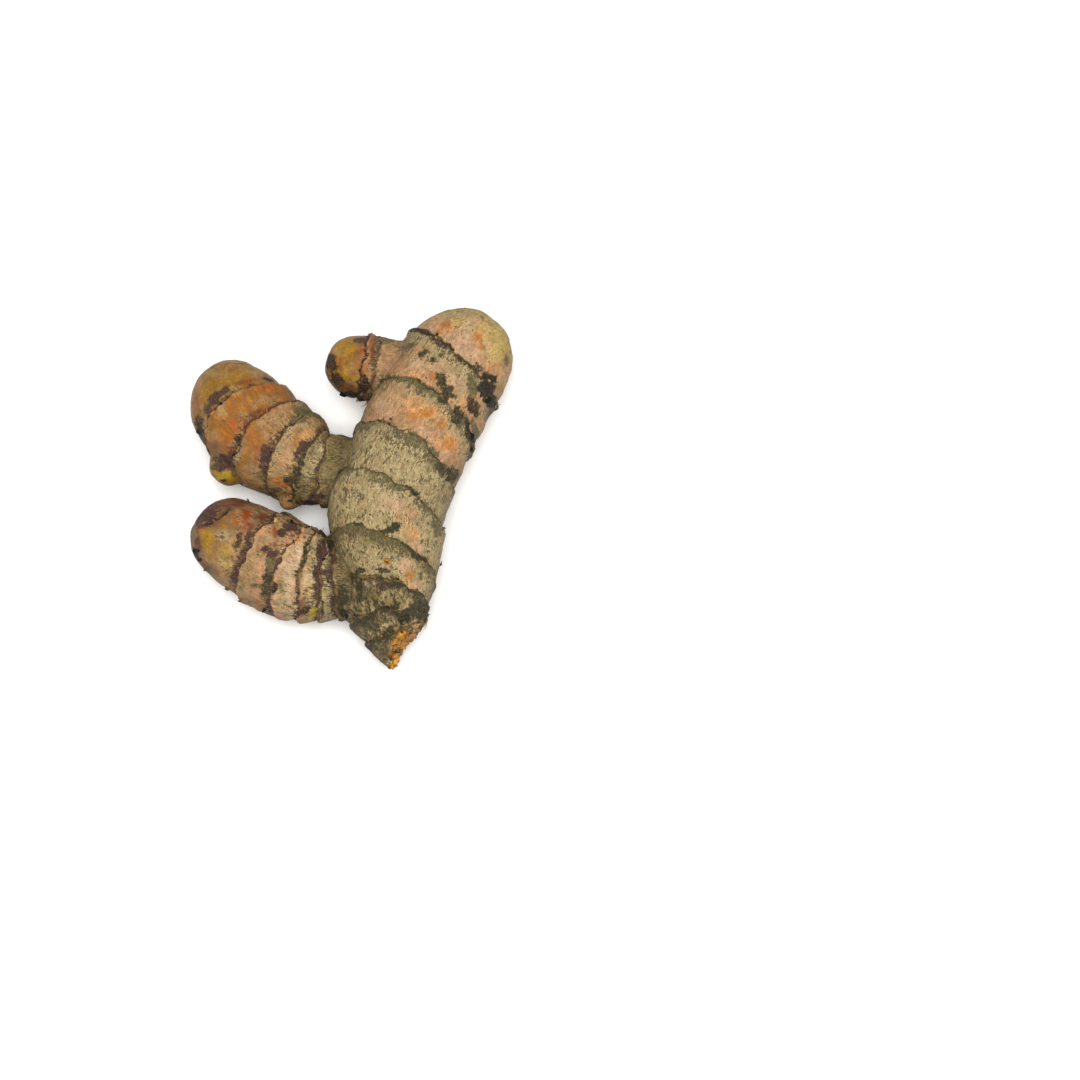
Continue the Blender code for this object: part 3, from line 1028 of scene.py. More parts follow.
KNOB_MARKS = [
    (345, 346, 12, 8, 15, "gold", 0.85),
    (337, 353, 5, 4, 0, "straw", 0.5),
    (358, 360, 5, 9, 0, "rust", 0.6),
    (345, 372, 3, 6, 0, "gold", 0.8),
    (355, 380, 4, 4, 0, "gold", 0.6),
    (331, 363, 5, 10, 10, "umber", 0.9),
    (339, 360, 4, 8, 10, "rust", 0.45),
    (338, 380, 9, 6, -35, "umber", 0.8),
    (349, 387, 11, 5, -20, "maroon", 0.85),
    (355, 396, 13, 4, -10, "soot", 1.0),
    (365, 385, 5, 10, 0, "umber", 0.9),
    (363, 350, 5, 5, 0, "rust", 0.7),
    (361, 340, 7, 3, 0, "plum", 0.8),
    (368, 362, 2.5, 8, 0, "tan", 0.8),
    (365, 370, 3, 6, 0, "copper", 0.7),
    (373, 353, 2.5, 7, 0, "maroon", 0.85),
    (375, 366, 3, 9, 0, "bark", 0.8),
    (373, 381, 4, 8, 0, "maroon", 0.8),
    (378, 352, 4, 8, 0, "bark", 0.6),
    (389, 342, 12, 3, 5, "grey_green", 0.75),
]
MARKS = CAP_MARKS + MOTHER_MARKS + UPPER_FINGER_MARKS + LOWER_FINGER_MARKS + KNOB_MARKS
# What makes a mark's edge ragged, as (size, height), and where its tone ends and is full.
MARK_EDGE = ((2.4, 0.50), (0.9, 0.35))
MARK_SEED = 5.0
MARK_END = 1.4
BARK_CORE = 0.55
BARE_CORE = 0.25

# A round scar on the mother limb: its place in the photograph, its radius and its depth.
SCAR_PIXEL = (386.8, 562.0)
SCAR_RADIUS = 0.62
SCAR_DEPTH = 0.4
SCAR_RAGGED = 0.3
LOWEST_SCAR = 10.0
# In radii of the scar: where its tones end and are full, its pit, and its rim as place, width, height.
SCAR_TONES = (("rust", 1.45, 1.15), ("flesh", 1.15, 0.85), ("umber", 0.8, 0.55))
SCAR_PIT = (1.1, 0.3)
SCAR_RIM = (1.4, 0.4, 0.4)

# The snapped face: how squarely skin faces its way and how near it lies, in radii, to be part of it.
FLESH_FACING = (0.45, 0.80)
FLESH_REACH = (1.5, 1.1)
# Its rusty stains and dark holes: where their noise starts and is full, and how strong they are.
STAIN_FADE = (0.1, 0.5)
STAIN_STRENGTH = 0.25
HOLE_FADE = (0.20, 0.42)
HOLE_STRENGTH = 0.9
HOLE_DEPTH = 0.5
# Where the snapped face's rim is pale torn skin: its place in the photograph and size in pixels.
TORN_PIXEL = (416.0, 625.0)
TORN_RADIUS = 9.0
TORN_FADE = (1.3, 0.7)
TORN_STRENGTH = 0.85

# How squarely skin faces the camera where marks start to show and show fully, and where it hides.
SHOWN_FACING = (0.0, 0.25)
HIDDEN_FACING = 0.1
# Marks on the sides that the photograph doesn't show: how many, their sizes and their tones.
HIDDEN_MARKS = 90
HIDDEN_SIZES = (1.2, 5.5)
HIDDEN_REACH = 1.6
HIDDEN_FADE = (1.3, 0.3)
HIDDEN_STRENGTH = 0.7
HIDDEN_TONES = ("slate", "rose", "peach", "orange", "pink", "plum", "bark", "khaki", "grey_green", "tan")


def add_seen_marks(paint, pixels, edge, shown):
    """Lays the photograph's marks on the side that it shows."""
    for x, y, half_width, half_height, turn, name, strength in MARKS:
        offset = pixels - (x, y)
        near = np.flatnonzero((np.abs(offset) < 2 * max(half_width, half_height)).all(1))
        cosine, sine = math.cos(math.radians(turn)), math.sin(math.radians(turn))
        along = (offset[near, 0] * cosine - offset[near, 1] * sine) / half_width
        across = (offset[near, 0] * sine + offset[near, 1] * cosine) / half_height
        distance = np.hypot(along, across) + edge[near]
        core = BARK_CORE if name in BARK_TONES else BARE_CORE
        paint_over(paint, near, name, strength * shown[near] * smoothstep(MARK_END, core, distance))


def add_hidden_marks(paint, points, edge, shown, hidden):
    """Lays seeded marks on the sides that the photograph doesn't show."""
    draw = np.random.default_rng(SEED)
    for place in draw.choice(hidden, HIDDEN_MARKS):
        size = draw.uniform(*HIDDEN_SIZES)
        name = str(draw.choice(HIDDEN_TONES))
        near = np.flatnonzero((np.abs(points - points[place]) < HIDDEN_REACH * size).all(1))
        distance = np.linalg.norm(points[near] - points[place], axis=1) / size + edge[near]
        cover = HIDDEN_STRENGTH * (1 - shown[near]) * smoothstep(*HIDDEN_FADE, distance)
        paint_over(paint, near, name, cover)


def add_marks(paint, points, normals):
    """Lays every mark, with edges made ragged by noise."""
    edge = sum(height * noise_at(points, size, MARK_SEED) for size, height in MARK_EDGE)
    facing = (unit(EYE - points) * normals).sum(-1)
    shown = smoothstep(*SHOWN_FACING, facing)
    add_seen_marks(paint, photo_pixels(points), edge, shown)
    add_hidden_marks(paint, points, edge, shown, np.flatnonzero(facing < HIDDEN_FACING))


def add_grime(paint, normals, junction):
    """Paints shade into the skin's colour: darker where it faces down and in the crevices between the
    limbs.
    """
    below = smoothstep(*FACING_DOWN, normals[:, 2])
    kept = (1 - UNDERSIDE_SHADE * below) * (1 - CREVICE_SHADE * junction)
    paint[:, :3] *= kept[:, None]
    paint[:, BARK] *= kept[:, None]


def flesh_cover(mother, points, normals):
    """How much of each place is on the snapped face at the mother limb's root end."""
    rim = mother.surface(mother.ring_lines[0], RING_ANGLES, 0.0)
    middle = rim[:-1].mean(0)
    outward = unit(np.cross(rim[:-1] - middle, rim[1:] - middle).sum(0))
    if (outward * mother.tangents[0]).sum() > 0:
        outward = -outward
    radius = np.linalg.norm(rim - middle, axis=1).mean()
    aligned = smoothstep(*FLESH_FACING, normals @ outward)
    return aligned * smoothstep(*FLESH_REACH, np.linalg.norm(points - middle, axis=1) / radius)


def snap_off(paint, flesh, points):
    """Bares the bright flesh of the snapped face, and gives the depth of the holes in it."""
    holes = smoothstep(*HOLE_FADE, noise_at(points, *FLESH_HOLES))
    stains = smoothstep(*STAIN_FADE, noise_at(points, *FLESH_STAINS))
    torn = np.linalg.norm(photo_pixels(points) - TORN_PIXEL, axis=1) / TORN_RADIUS
    paint_over(paint, ALL, "flesh", flesh)
    paint_over(paint, ALL, "rust", STAIN_STRENGTH * flesh * stains)
    paint[:, COVER] *= 1 - flesh
    paint_over(paint, ALL, "umber", HOLE_STRENGTH * flesh * holes)
    paint_over(paint, ALL, "cream", TORN_STRENGTH * flesh * smoothstep(*TORN_FADE, torn))
    return HOLE_DEPTH * flesh * holes


def add_scar(paint, points):
    """Paints the small round scar, and gives its depth: a pit with a raised edge."""
    distance = np.linalg.norm(photo_pixels(points) - SCAR_PIXEL, axis=1)
    distance = distance * PHOTO_MM_PER_PIXEL / SCAR_RADIUS
    distance += SCAR_RAGGED * noise_at(points, *SCAR_EDGE)
    distance += np.where(points[:, 2] < LOWEST_SCAR, FAR, 0.0)
    for name, end, full in SCAR_TONES:
        paint_over(paint, ALL, name, smoothstep(end, full, distance))
    radius, spread, height = SCAR_RIM
    raised = height * np.exp(-(((distance - radius) / spread) ** 2))
    return SCAR_DEPTH * (smoothstep(*SCAR_PIT, distance) - raised)


def junctions(limbs, distances):
    """How near each place is to where two limbs meet, from 0 to 1."""
    is_bud = np.array([not grown.limb.bands for grown in limbs])
    reach = np.where(is_bud, BUD_FILLET, LIMB_FILLET)[:, None]
    return np.clip(1.0 - np.sort(distances / reach, axis=0)[1], 0.0, 1.0)


def blended(limbs, distances, points):
    """The limbs' relief, paint, own coordinates and ring distance, blended where they meet."""
    count = len(points)
    weights = np.exp(-(distances - distances.min(0)) / LIMB_BLEND)
    weights[weights < LEAST_WEIGHT] = 0.0
    weights /= weights.sum(0)
    nearest = distances.argmin(0)
    relief = np.zeros(count)
    paint = np.zeros((count, COLUMNS))
    space = np.zeros((count, 3))
    ring_gap = np.full(count, FAR)
    for number, (grown, weight) in enumerate(zip(limbs, weights)):
        near = np.flatnonzero(weight > 0)
        station, angle, radius = grown.locate(points[near])
        relief[near] += weight[near] * grown.relief(station, angle)
        local = np.stack([station, radius * np.cos(angle), radius * np.sin(angle)], -1)
        paint[near] += weight[near, None] * limb_paint(grown, local, angle, points[near])
        own = nearest[near] == number
        space[near[own]] = local[own] + (LIMB_SPACING * number, 0.0, 0.0)
        _, past, short = grown.internodes(station, angle)
        in_cap = station + short > grown.length - TINY
        gap = np.where((past < short) | in_cap, past, -short)
        ring_gap[near[own]] = gap[own]
    return relief, paint, space, ring_gap


def add_texture(relief, waxy, space, points):
    """Adds the wrinkles along and round the limbs and the small lumps, less where it is waxy."""
    for stretch, height in WRINKLES:
        relief += height * (1 - WAXY_LOSS[0] * waxy) * noise_at(space / stretch)
    for size, height in LUMPS:
        relief += height * (1 - WAXY_LOSS[1] * waxy) * noise_at(points, size, LUMP_SEED)


def grow_skin(limbs):
    """The whole skin as one fine mesh, with its relief and its painted attributes."""
    shells = [grown.shell() for grown in limbs]
    skin = remeshed(shells)
    mesh = skin.data
    edges = read(mesh.edges, "vertices", 2, np.int32)
    points = read(mesh.vertices, "co", 3).astype(float)
    points = relaxed(points, edges, np.full(len(points), SMOOTHING), SMOOTHING_ROUNDS)
    distances = shell_distances(points, shells)
    junction = junctions(limbs, distances)
    points = relaxed(points, edges, FILLET_PULL * junction, FILLET_ROUNDS)
    write_points(mesh, points)
    normals = read(mesh.vertex_normals, "vector", 3).astype(float)

    relief, paint, space, ring_gap = blended(limbs, distances, points)
    relief *= 1 - JUNCTION_LOSS * junction
    flesh = flesh_cover(limbs[0], points, normals)
    add_marks(paint, points, normals)
    # Painted shade: the skin's colour is darkened underneath and in the crevices between the limbs.
    add_grime(paint, normals, junction)
    add_texture(relief, paint[:, WAXY], space, points)
    fibre_size, fibre_height = FLESH_FIBRES
    fibres = fibre_height * noise_at(points, fibre_size, FLESH_SEED)
    relief += flesh * (fibres - relief)
    relief -= snap_off(paint, flesh, points)
    relief -= add_scar(paint, points)

    points = points + normals * relief[:, None] + TO_ORIGIN
    points[:, 2] = np.maximum(points[:, 2], 0.0)
    write_points(mesh, points * MM)
    write_attributes(mesh, paint, space, ring_gap)
    mesh.shade_smooth()
    return skin


def write_attributes(mesh, paint, space, ring_gap):
    """Stores what the skin's material reads: its paint, its place on the limb and ring distance."""
    write_colour(mesh, "skin_colour", paint[:, :3])
    write_colour(mesh, "bark_colour", paint[:, BARK])
    write(mesh, "speckled", "FLOAT", "value", paint[:, SPECKLED])
    write(mesh, "waxy", "FLOAT", "value", paint[:, WAXY])
    write(mesh, "bark", "FLOAT", "value", paint[:, COVER])
    write(mesh, "ring_gap", "FLOAT", "value", ring_gap)
    write(mesh, "limb_space", "FLOAT_VECTOR", "vector", space)


class Graph:
    """A material's nodes, added by calls that give back the new node's output socket."""

    def __init__(self, name):
        self.material = bpy.data.materials.new(name)
        self.material.use_nodes = True
        self.tree = self.material.node_tree
        self.shader = self.tree.nodes["Principled BSDF"]

    def node(self, kind, inputs, output=0, **settings):
        node = self.tree.nodes.new(kind)
        for name, value in settings.items():
            setattr(node, name, value)
        for key, value in inputs.items():
            if isinstance(value, bpy.types.NodeSocket):
                self.tree.links.new(value, node.inputs[key])
            else:
                node.inputs[key].default_value = value
        return node.outputs[output]

    def attribute(self, name, output="Fac"):
        return self.node("ShaderNodeAttribute", {}, output, attribute_name=name)

    def position(self):
        return self.node("ShaderNodeTexCoord", {}, "Object")

    def noise(self, place, stretch, detail=2.0, rough=0.5):
        """Noise from 0 to 1 with so many bumps to a unit of place along each axis."""
        scaled = self.node("ShaderNodeVectorMath", {0: place, 1: stretch}, operation="MULTIPLY")
        inputs = {"Vector": scaled, "Scale": 1.0, "Detail": detail, "Roughness": rough}
        return self.node("ShaderNodeTexNoise", inputs, "Fac")

    def step(self, value, low, high, to_low=0.0, to_high=1.0):
        inputs = {0: value, 1: low, 2: high, 3: to_low, 4: to_high}
        return self.node("ShaderNodeMapRange", inputs, interpolation_type="SMOOTHSTEP")

    def math(self, operation, first, *others):
        """One value from several, taken in by the same operation one after the other."""
        for other in others or (0.0,):
            first = self.node("ShaderNodeMath", {0: first, 1: other}, operation=operation)
        return first

    def times(self, *values):
        return self.math("MULTIPLY", *values)

    def plus(self, *values):
        return self.math("ADD", *values)

    def minus(self, *values):
        return self.math("SUBTRACT", *values)

    def mix(self, factor, first, second, blend="MIX"):
        inputs = {0: factor, 6: first, 7: second}
        settings = {"data_type": "RGBA", "blend_type": blend, "clamp_result": False}
        return self.node("ShaderNodeMix", inputs, 2, **settings)

    def bump(self, height, distance):
        return self.node("ShaderNodeBump", {"Height": height, "Distance": distance})

    def finish(self, colour, roughness, normal, **numbers):
        for name, socket in (("Base Color", colour), ("Roughness", roughness), ("Normal", normal)):
            self.tree.links.new(socket, self.shader.inputs[name])
        for name, value in numbers.items():
            self.shader.inputs[name.replace("_", " ")].default_value = value
        return self.material


# The skin material's noises: their bumps per mm along and across a limb, detail and roughness.
Noises = namedtuple("Noises", "clouds mottle stripes grain dashes flecks")
SKIN_NOISES = Noises(
    clouds=(0.30, 0.40, 4.0, 0.60),
    mottle=(0.80, 1.10, 4.0, 0.65),
    stripes=(0.35, 2.10, 3.0, 0.60),
    grain=(2.40, 3.40, 3.0, 0.65),
    dashes=(1.00, 2.10, 2.0, 0.60),
    flecks=(1.80, 3.80, 2.0, 0.60),
)
DUST = (0.22, 0.17, 0.09, 1.0)
SPECK = (0.044, 0.033, 0.016, 1.0)
# The colour of the painted shadow in the crease at each ring.
CREASE_SHADOW = (0.040, 0.028, 0.018, 1.0)


def bare_colour(graph, noises):
    """The bare skin's colour: dusty where it is old, mottled, and speckled with dark dashes."""
    speckled = graph.attribute("speckled")
    colour = graph.attribute("skin_colour", "Color")
    dusty = graph.mix(0.35, colour, DUST)
    dust = graph.times(graph.step(noises.mottle, 0.46, 0.66, 0.0, 0.6), graph.step(speckled, 0.0, 0.12))
    colour = graph.mix(dust, colour, dusty)
    shade = graph.times(
        graph.step(noises.clouds, 0.32, 0.68, 0.80, 1.14),
        graph.step(noises.mottle, 0.30, 0.70, 1.18, 0.80),
        graph.step(noises.stripes, 0.30, 0.70, 0.88, 1.10),
        graph.step(noises.grain, 0.28, 0.72, 0.78, 1.20),
    )
    colour = graph.mix(1.0, colour, shade, "MULTIPLY")
    gathered_here = graph.plus(speckled, graph.step(noises.clouds, 0.35, 0.65, -0.30, 0.30))
    dashed = graph.minus(noises.dashes, graph.step(gathered_here, 0.0, 1.0, 0.71, 0.48))
    flecked = graph.minus(noises.flecks, graph.step(gathered_here, 0.0, 1.0, 0.69, 0.51))
    specks = graph.math("MAXIMUM", graph.step(dashed, 0.0, 0.05), graph.step(flecked, 0.0, 0.04))
    return graph.mix(graph.times(specks, 0.84), colour, SPECK)


def bark_cover(graph, noises):
    """Where the ragged bark lies, with the gaps and pale flecks in it."""
    painted = graph.attribute("bark")
    ragged = graph.plus(
        painted,
        graph.step(noises.mottle, 0.30, 0.70, -0.32, 0.32),
        graph.step(noises.grain, 0.30, 0.70, -0.36, 0.36),
    )
    return graph.times(
        graph.step(ragged, 0.27, 0.52),
        graph.step(noises.flecks, 0.46, 0.66, 0.97, 0.45),
        graph.step(painted, 0.02, 0.25),
    )


def bark_colour(graph, noises):
    grainy = graph.step(noises.grain, 0.3, 0.7, 0.35, 1.6)
    flecked = graph.step(noises.flecks, 0.3, 0.7, 0.6, 1.5)
    shade = graph.times(grainy, flecked)
    return graph.mix(1.0, graph.attribute("bark_colour", "Color"), shade, "MULTIPLY")


def crease_cover(graph, noises):
    """The thin broken dark line in the crease at each ring: painted shadow."""
    wander = graph.times(graph.minus(noises.grain, 0.5), 1.2)
    off_line = graph.math("ABSOLUTE", graph.plus(graph.attribute("ring_gap"), wander))
    broken = graph.step(noises.mottle, 0.42, 0.56, 0.25, 0.85)
    return graph.times(graph.step(off_line, 0.30, 0.06), broken)


def skin_height(graph, noises, waxy, bark, crease):
    """The finest relief: grain, which wax fills, bark standing proud and creases cut in."""
    grain = graph.plus(*(graph.times(each, 0.5) for each in (noises.stripes, noises.grain, noises.mottle)))
    grain = graph.times(grain, graph.step(waxy, 0.0, 0.7, 1.0, 0.35))
    proud = graph.times(bark, graph.step(noises.flecks, 0.3, 0.7, 0.1, 0.6))
    return graph.minus(graph.plus(grain, proud), graph.times(crease, 0.5))


def skin_material():
    """Papery skin: mottled and speckled, with ragged bark, and waxy where it is young."""
    graph = Graph("turmeric_skin")
    space = graph.attribute("limb_space", "Vector")
    waxy = graph.attribute("waxy")
    noises = Noises(
        *(
            graph.noise(space, (along, across, across), detail, rough)
            for along, across, detail, rough in SKIN_NOISES
        )
    )
    bark = bark_cover(graph, noises)
    crease = crease_cover(graph, noises)
    colour = graph.mix(bark, bare_colour(graph, noises), bark_colour(graph, noises))
    # Painted shadow: a thin dark line in the crease at each ring.
    colour = graph.mix(crease, colour, CREASE_SHADOW)
    roughness = graph.plus(
        graph.step(waxy, 0.0, 0.7, 0.78, 0.46),
        graph.step(noises.grain, 0.3, 0.7, -0.08, 0.08),
        graph.times(bark, 0.10),
    )
    normal = graph.bump(skin_height(graph, noises, waxy, bark, crease), 0.0004)
    numbers = {"Subsurface_Weight": 0.06, "Subsurface_Scale": 0.0012, "Specular_IOR_Level": 0.32}
    return graph.finish(colour, roughness, normal, **numbers)


def scale_material():
    """Dry papery scale: dark, fibrous and matte."""
    graph = Graph("dry_scale")
    fibres = graph.noise(graph.position(), (900.0, 900.0, 500.0), 4.0, 0.6)
    shade = graph.step(fibres, 0.3, 0.7, 0.6, 1.3)
    colour = graph.mix(1.0, graph.attribute("skin_colour", "Color"), shade, "MULTIPLY")
    roughness = graph.step(fibres, 0.3, 0.7, 0.7, 0.9)
    return graph.finish(colour, roughness, graph.bump(fibres, 0.0002), Specular_IOR_Level=0.3)


# The dry fringe that each rim ends in: its width on the cup, its reach past the ring and thickness.
FRINGE_STEP = 0.3
FRINGE_BASE = 0.9
FRINGE_REACH = 0.5
FRINGE_LIFT = 0.07
FRINGE_SINK = 0.25
FRINGE_THICKNESS = 0.06
FRINGE_TONES = {"mother": "slate", "upper_finger": "plum", "lower_finger": "plum"}
# Its rows as shares of its width, where it leaves the cup, how far it droops and how deep its foot is.
FRINGE_ROWS = (0.0, 0.5, 0.85, 1.0)
FRINGE_HOLD = 0.3
FRINGE_DROOP = 0.7
FRINGE_FOOT = 0.12
# Its teeth: their mean, height, range and noises, then the noise of the gaps between stretches.
TEETH_MEAN = 0.4
TEETH_HEIGHT = 0.9
TEETH_RANGE = (-0.3, 1.5)
TEETH_NOISES = ((1.0, 4.0), (0.4, 9.0))
FRINGE_GAPS = (4.0, 14.0)
FRINGE_STAINS = (1.5, 6.0)
# Loose trim lies at least this far above the table.
TABLE_GAP = 0.02


def fringe_rows(grown, ring, angle, reach, kept, share_of_full):
    """The stations and levels of a fringe's rows, sunk where the rim has no fringe left."""
    for share in FRINGE_ROWS:
        station = ring - FRINGE_BASE + share * (FRINGE_BASE + reach)
        on_cup = grown.relief(np.minimum(station, ring - FRINGE_HOLD), angle)
        past = np.clip((station - ring + FRINGE_HOLD) / (FRINGE_REACH + FRINGE_HOLD), 0, 1)
        level = on_cup + (grown.relief(station, angle) - on_cup) * FRINGE_DROOP * past
        rise = (FRINGE_LIFT * share_of_full + FRINGE_FOOT) * min(1.0, 2 * share)
        yield station, level - FRINGE_FOOT + rise - FRINGE_SINK * (1 - kept)


def fringe_strip(grown, line):
    """Corners and faces of one ragged strip round a ring."""
    half_width = grown.along(line.mean(), grown.widths)
    count = int(2 * math.pi * half_width / FRINGE_STEP)
    angle = np.linspace(-math.pi, math.pi, count, endpoint=False)
    ring = np.interp(angle, RING_ANGLES, line)
    circle = np.stack([np.cos(angle), np.sin(angle), np.full(count, ring.mean())], -1) * half_width
    teeth = TEETH_MEAN + TEETH_HEIGHT * sum(noise_at(circle, *each) for each in TEETH_NOISES)
    kept = smoothstep(0.0, 0.3, noise_at(circle, *FRINGE_GAPS))
    share_of_full = grown.thickness(line.mean()) ** 2
    reach = FRINGE_REACH * share_of_full * np.clip(teeth, *TEETH_RANGE) * kept
    rows = list(fringe_rows(grown, ring, angle, reach, kept, share_of_full))
    upper = [grown.surface(station, angle, level) for station, level in rows]
    lower = [grown.surface(station, angle, level - FRINGE_THICKNESS) for station, level in rows]
    loops = [number * count for number in range(len(upper + lower))]
    outline = loops[: len(upper)] + loops[: len(upper) - 1 : -1]
    faces = []
    for low, high in zip(outline, outline[1:] + outline[:1]):
        faces += strip_faces(low, high, count)
    return np.vstack(upper + lower), faces


def trim_piece(name, forms, colours):
    """Thin trim as one piece that keeps clear of the table."""
    points, faces = gathered(forms)
    points[:, 2] = np.maximum(points[:, 2], TABLE_GAP)
    piece = mesh_object(name, points, faces)
    write_colour(piece.data, "skin_colour", np.vstack(colours))
    piece.data.shade_smooth()
    return piece


def fringes(limbs):
    """All the rims' dry fringes as one piece."""
    forms, colours = [], []
    for grown in (each for each in limbs if each.limb.name in FRINGE_TONES):
        dark, dry = TONES[FRINGE_TONES[grown.limb.name]][:3], TONES["bark"][:3]
        for line in grown.ring_lines[1:]:
            corners, faces = fringe_strip(grown, line)
            stains = smoothstep(-0.4, 0.4, noise_at(corners, *FRINGE_STAINS))
            colours.append(dark + stains[:, None] * (dry - dark))
            forms.append((corners + TO_ORIGIN, faces))
    return trim_piece("rim_fringes", forms, colours)


# Loose scales and barbs that the photograph shows: their pixel, the way that they point in degrees
# anticlockwise from the right, then width, length and lift in mm, and tone.
SEEN_SCALES = [
    (439, 567, 70, 1.3, 2.0, 0.6, "bark"),
    (327, 437, 20, 2.4, 1.6, 0.5, "bark"),
    (319, 434, 150, 2.2, 1.9, 0.4, "rust"),
    (274, 438, 120, 1.2, 1.2, 0.4, "tan"),
    (197, 552, 130, 3.4, 1.7, 0.7, "soot"),
    (201, 560, 150, 2.0, 1.4, 0.5, "umber"),
    (276, 521, 110, 1.5, 1.1, 0.5, "straw"),
    (303, 531, 80, 1.3, 1.2, 0.6, "tan"),
    (249, 502, 100, 0.9, 1.4, 0.6, "umber"),
    (292, 523, 95, 1.0, 1.3, 0.6, "soot"),
    (344, 394, 240, 3.0, 1.7, 0.6, "soot"),
    (357, 398, 260, 2.6, 1.3, 0.5, "umber"),
    (487, 399, -60, 2.8, 1.7, 0.6, "soot"),
    (493, 379, 15, 2.4, 1.4, 0.5, "slate"),
    (470, 436, -20, 2.6, 1.8, 0.6, "soot"),
    (466, 424, 10, 2.0, 1.4, 0.5, "slate"),
    (447, 478, -30, 2.0, 1.3, 0.5, "slate"),
    (394, 526, 60, 2.4, 1.5, 0.5, "slate"),
    (424, 560, 30, 2.0, 1.2, 0.4, "slate"),
    (347, 615, 250, 1.0, 1.3, 0.5, "soot"),
    (265, 609, 235, 1.1, 1.9, 0.6, "soot"),
    (228, 588, 225, 1.6, 1.2, 0.5, "bark"),
    (206, 569, 215, 1.0, 1.2, 0.5, "bark"),
    (328, 353, 170, 1.0, 0.9, 0.3, "tan"),
    (199, 432, 190, 1.6, 1.2, 0.4, "soot"),
]
# Small scales left along every ring: how many on a full one, how far they stray and their sizes.
SCALES_PER_RING = 11
SCALE_STRAY = 0.4
SCALE_TURN = 0.3
SCALE_WIDTHS = (0.5, 1.7)
SCALE_LENGTHS = (0.4, 1.1)
SCALE_LIFTS = (0.10, 0.40)
SCALE_TONES = ("bark", "bark", "slate", "plum", "tan", "umber")
SCALE_THICKNESS = 0.10
# A scale's form: its grid, teeth, short corners, taper, the share behind its foot, rise and curl.
SCALE_GRID = (6, 4)
SCALE_TEETH = (0.55, 1.1)
SCALE_CORNERS = 0.45
SCALE_TAPER = 0.35
SCALE_HEEL = 0.25
SCALE_RISE = 0.06
SCALE_CURL = 0.25
# Rootlets low on the limbs: how many, how far past a ring, where round the limb and their sizes.
ROOTLETS_PER_LIMB = 9
ROOTLET_PAST_RING = 0.8
ROOTLET_ANGLES = (-0.95 * math.pi, -0.05 * math.pi)
ROOTLET_LENGTHS = (1.2, 4.0)
ROOTLET_RADII = (0.16, 0.30)
ROOTLET_SIDES = 6
ROOTLET_ROWS = 7
ROOTLET_DEPTH = 0.4
ROOTLET_OUT = 0.8
ROOTLET_BEND = 0.9
ROOTLET_WANDER = 0.06
ROOTLET_TAPER = 0.75
LOWEST_ROOTLET = 1.5
# A ray to a limb's skin starts this far out, and may land this far from where it is expected.
RAY_START = 5.0
RAY_MISS = 2.5


def skin_under(tree, start, ray):
    """The point and outward normal where a ray from outside first meets the skin, in mm."""
    place, normal, _, _ = tree.ray_cast(Vector(start * MM), Vector(ray))
    if place is None:
        return None, None
    return np.array(place) / MM, np.array(normal)


def skin_in_photo(tree, x, y):
    """The place on the skin that a pixel of the photograph shows."""
    right = (x - PHOTO_SIZE / 2) / FOCAL_PIXELS
    upward = (PHOTO_SIZE / 2 - y) / FOCAL_PIXELS
    return skin_under(tree, EYE, right * RIGHT + upward * UPWARD - BACKWARD)


def skin_on_limb(tree, grown, station, angle):
    """The place on the skin at a limb's own coordinates, if nothing else covers it."""
    at, turn = np.array([station]), np.array([angle])
    expected = grown.surface(at, turn, 0.0)[0] + TO_ORIGIN
    outward = unit(expected - TO_ORIGIN - grown.along(at, grown.centres)[0])
    place, normal = skin_under(tree, expected + RAY_START * outward, -outward)
    if place is None or np.linalg.norm(place - expected) > RAY_MISS:
        return None, None
    return place, normal


def scale_form(place, normal, heading, width, length, lift, draw):
    """A thin ragged scale: held at its foot, and curling away from the skin towards its edge."""
    along = unit(heading - normal * (heading @ normal))
    across = np.cross(along, normal)
    columns, rows = SCALE_GRID
    reach = length * draw.uniform(*SCALE_TEETH, columns)
    reach[[0, -1]] *= SCALE_CORNERS
    corners = []
    for drop in (0.0, SCALE_THICKNESS):
        for row in np.linspace(0, 1, rows):
            spread = np.linspace(-0.5, 0.5, columns) * width * (1 - SCALE_TAPER * row)
            rise = SCALE_RISE + lift * row**2 - SCALE_CURL * (spread / width) ** 2 * width - drop
            offsets = ((spread, across), ((row - SCALE_HEEL) * reach, along), (rise, normal))
            corners.append(sum((amount[:, None] * way for amount, way in offsets), place))
    return np.vstack(corners), slab_faces(columns, rows)


def slab_faces(columns, rows):
    """Faces of a closed slab between two grids of corners."""
    top = np.arange(columns * rows).reshape(rows, columns)
    under = top + columns * rows
    faces = []
    for row in range(rows - 1):
        for column in range(columns - 1):
            here = (slice(row, row + 2), slice(column, column + 2))
            (a, b), (d, c) = top[here].tolist()
            faces.append((a, b, c, d))
            (a, b), (d, c) = under[here].tolist()
            faces.append((d, c, b, a))
    upper, lower = rim_of(top), rim_of(under)
    beside = zip(upper[1:] + upper[:1], upper, lower, lower[1:] + lower[:1])
    return faces + list(beside)


def rim_of(grid):
    """The numbers round the edge of a grid, in order."""
    return np.concatenate([grid[0], grid[1:, -1], grid[-1, -2::-1], grid[-2:0:-1, 0]]).tolist()


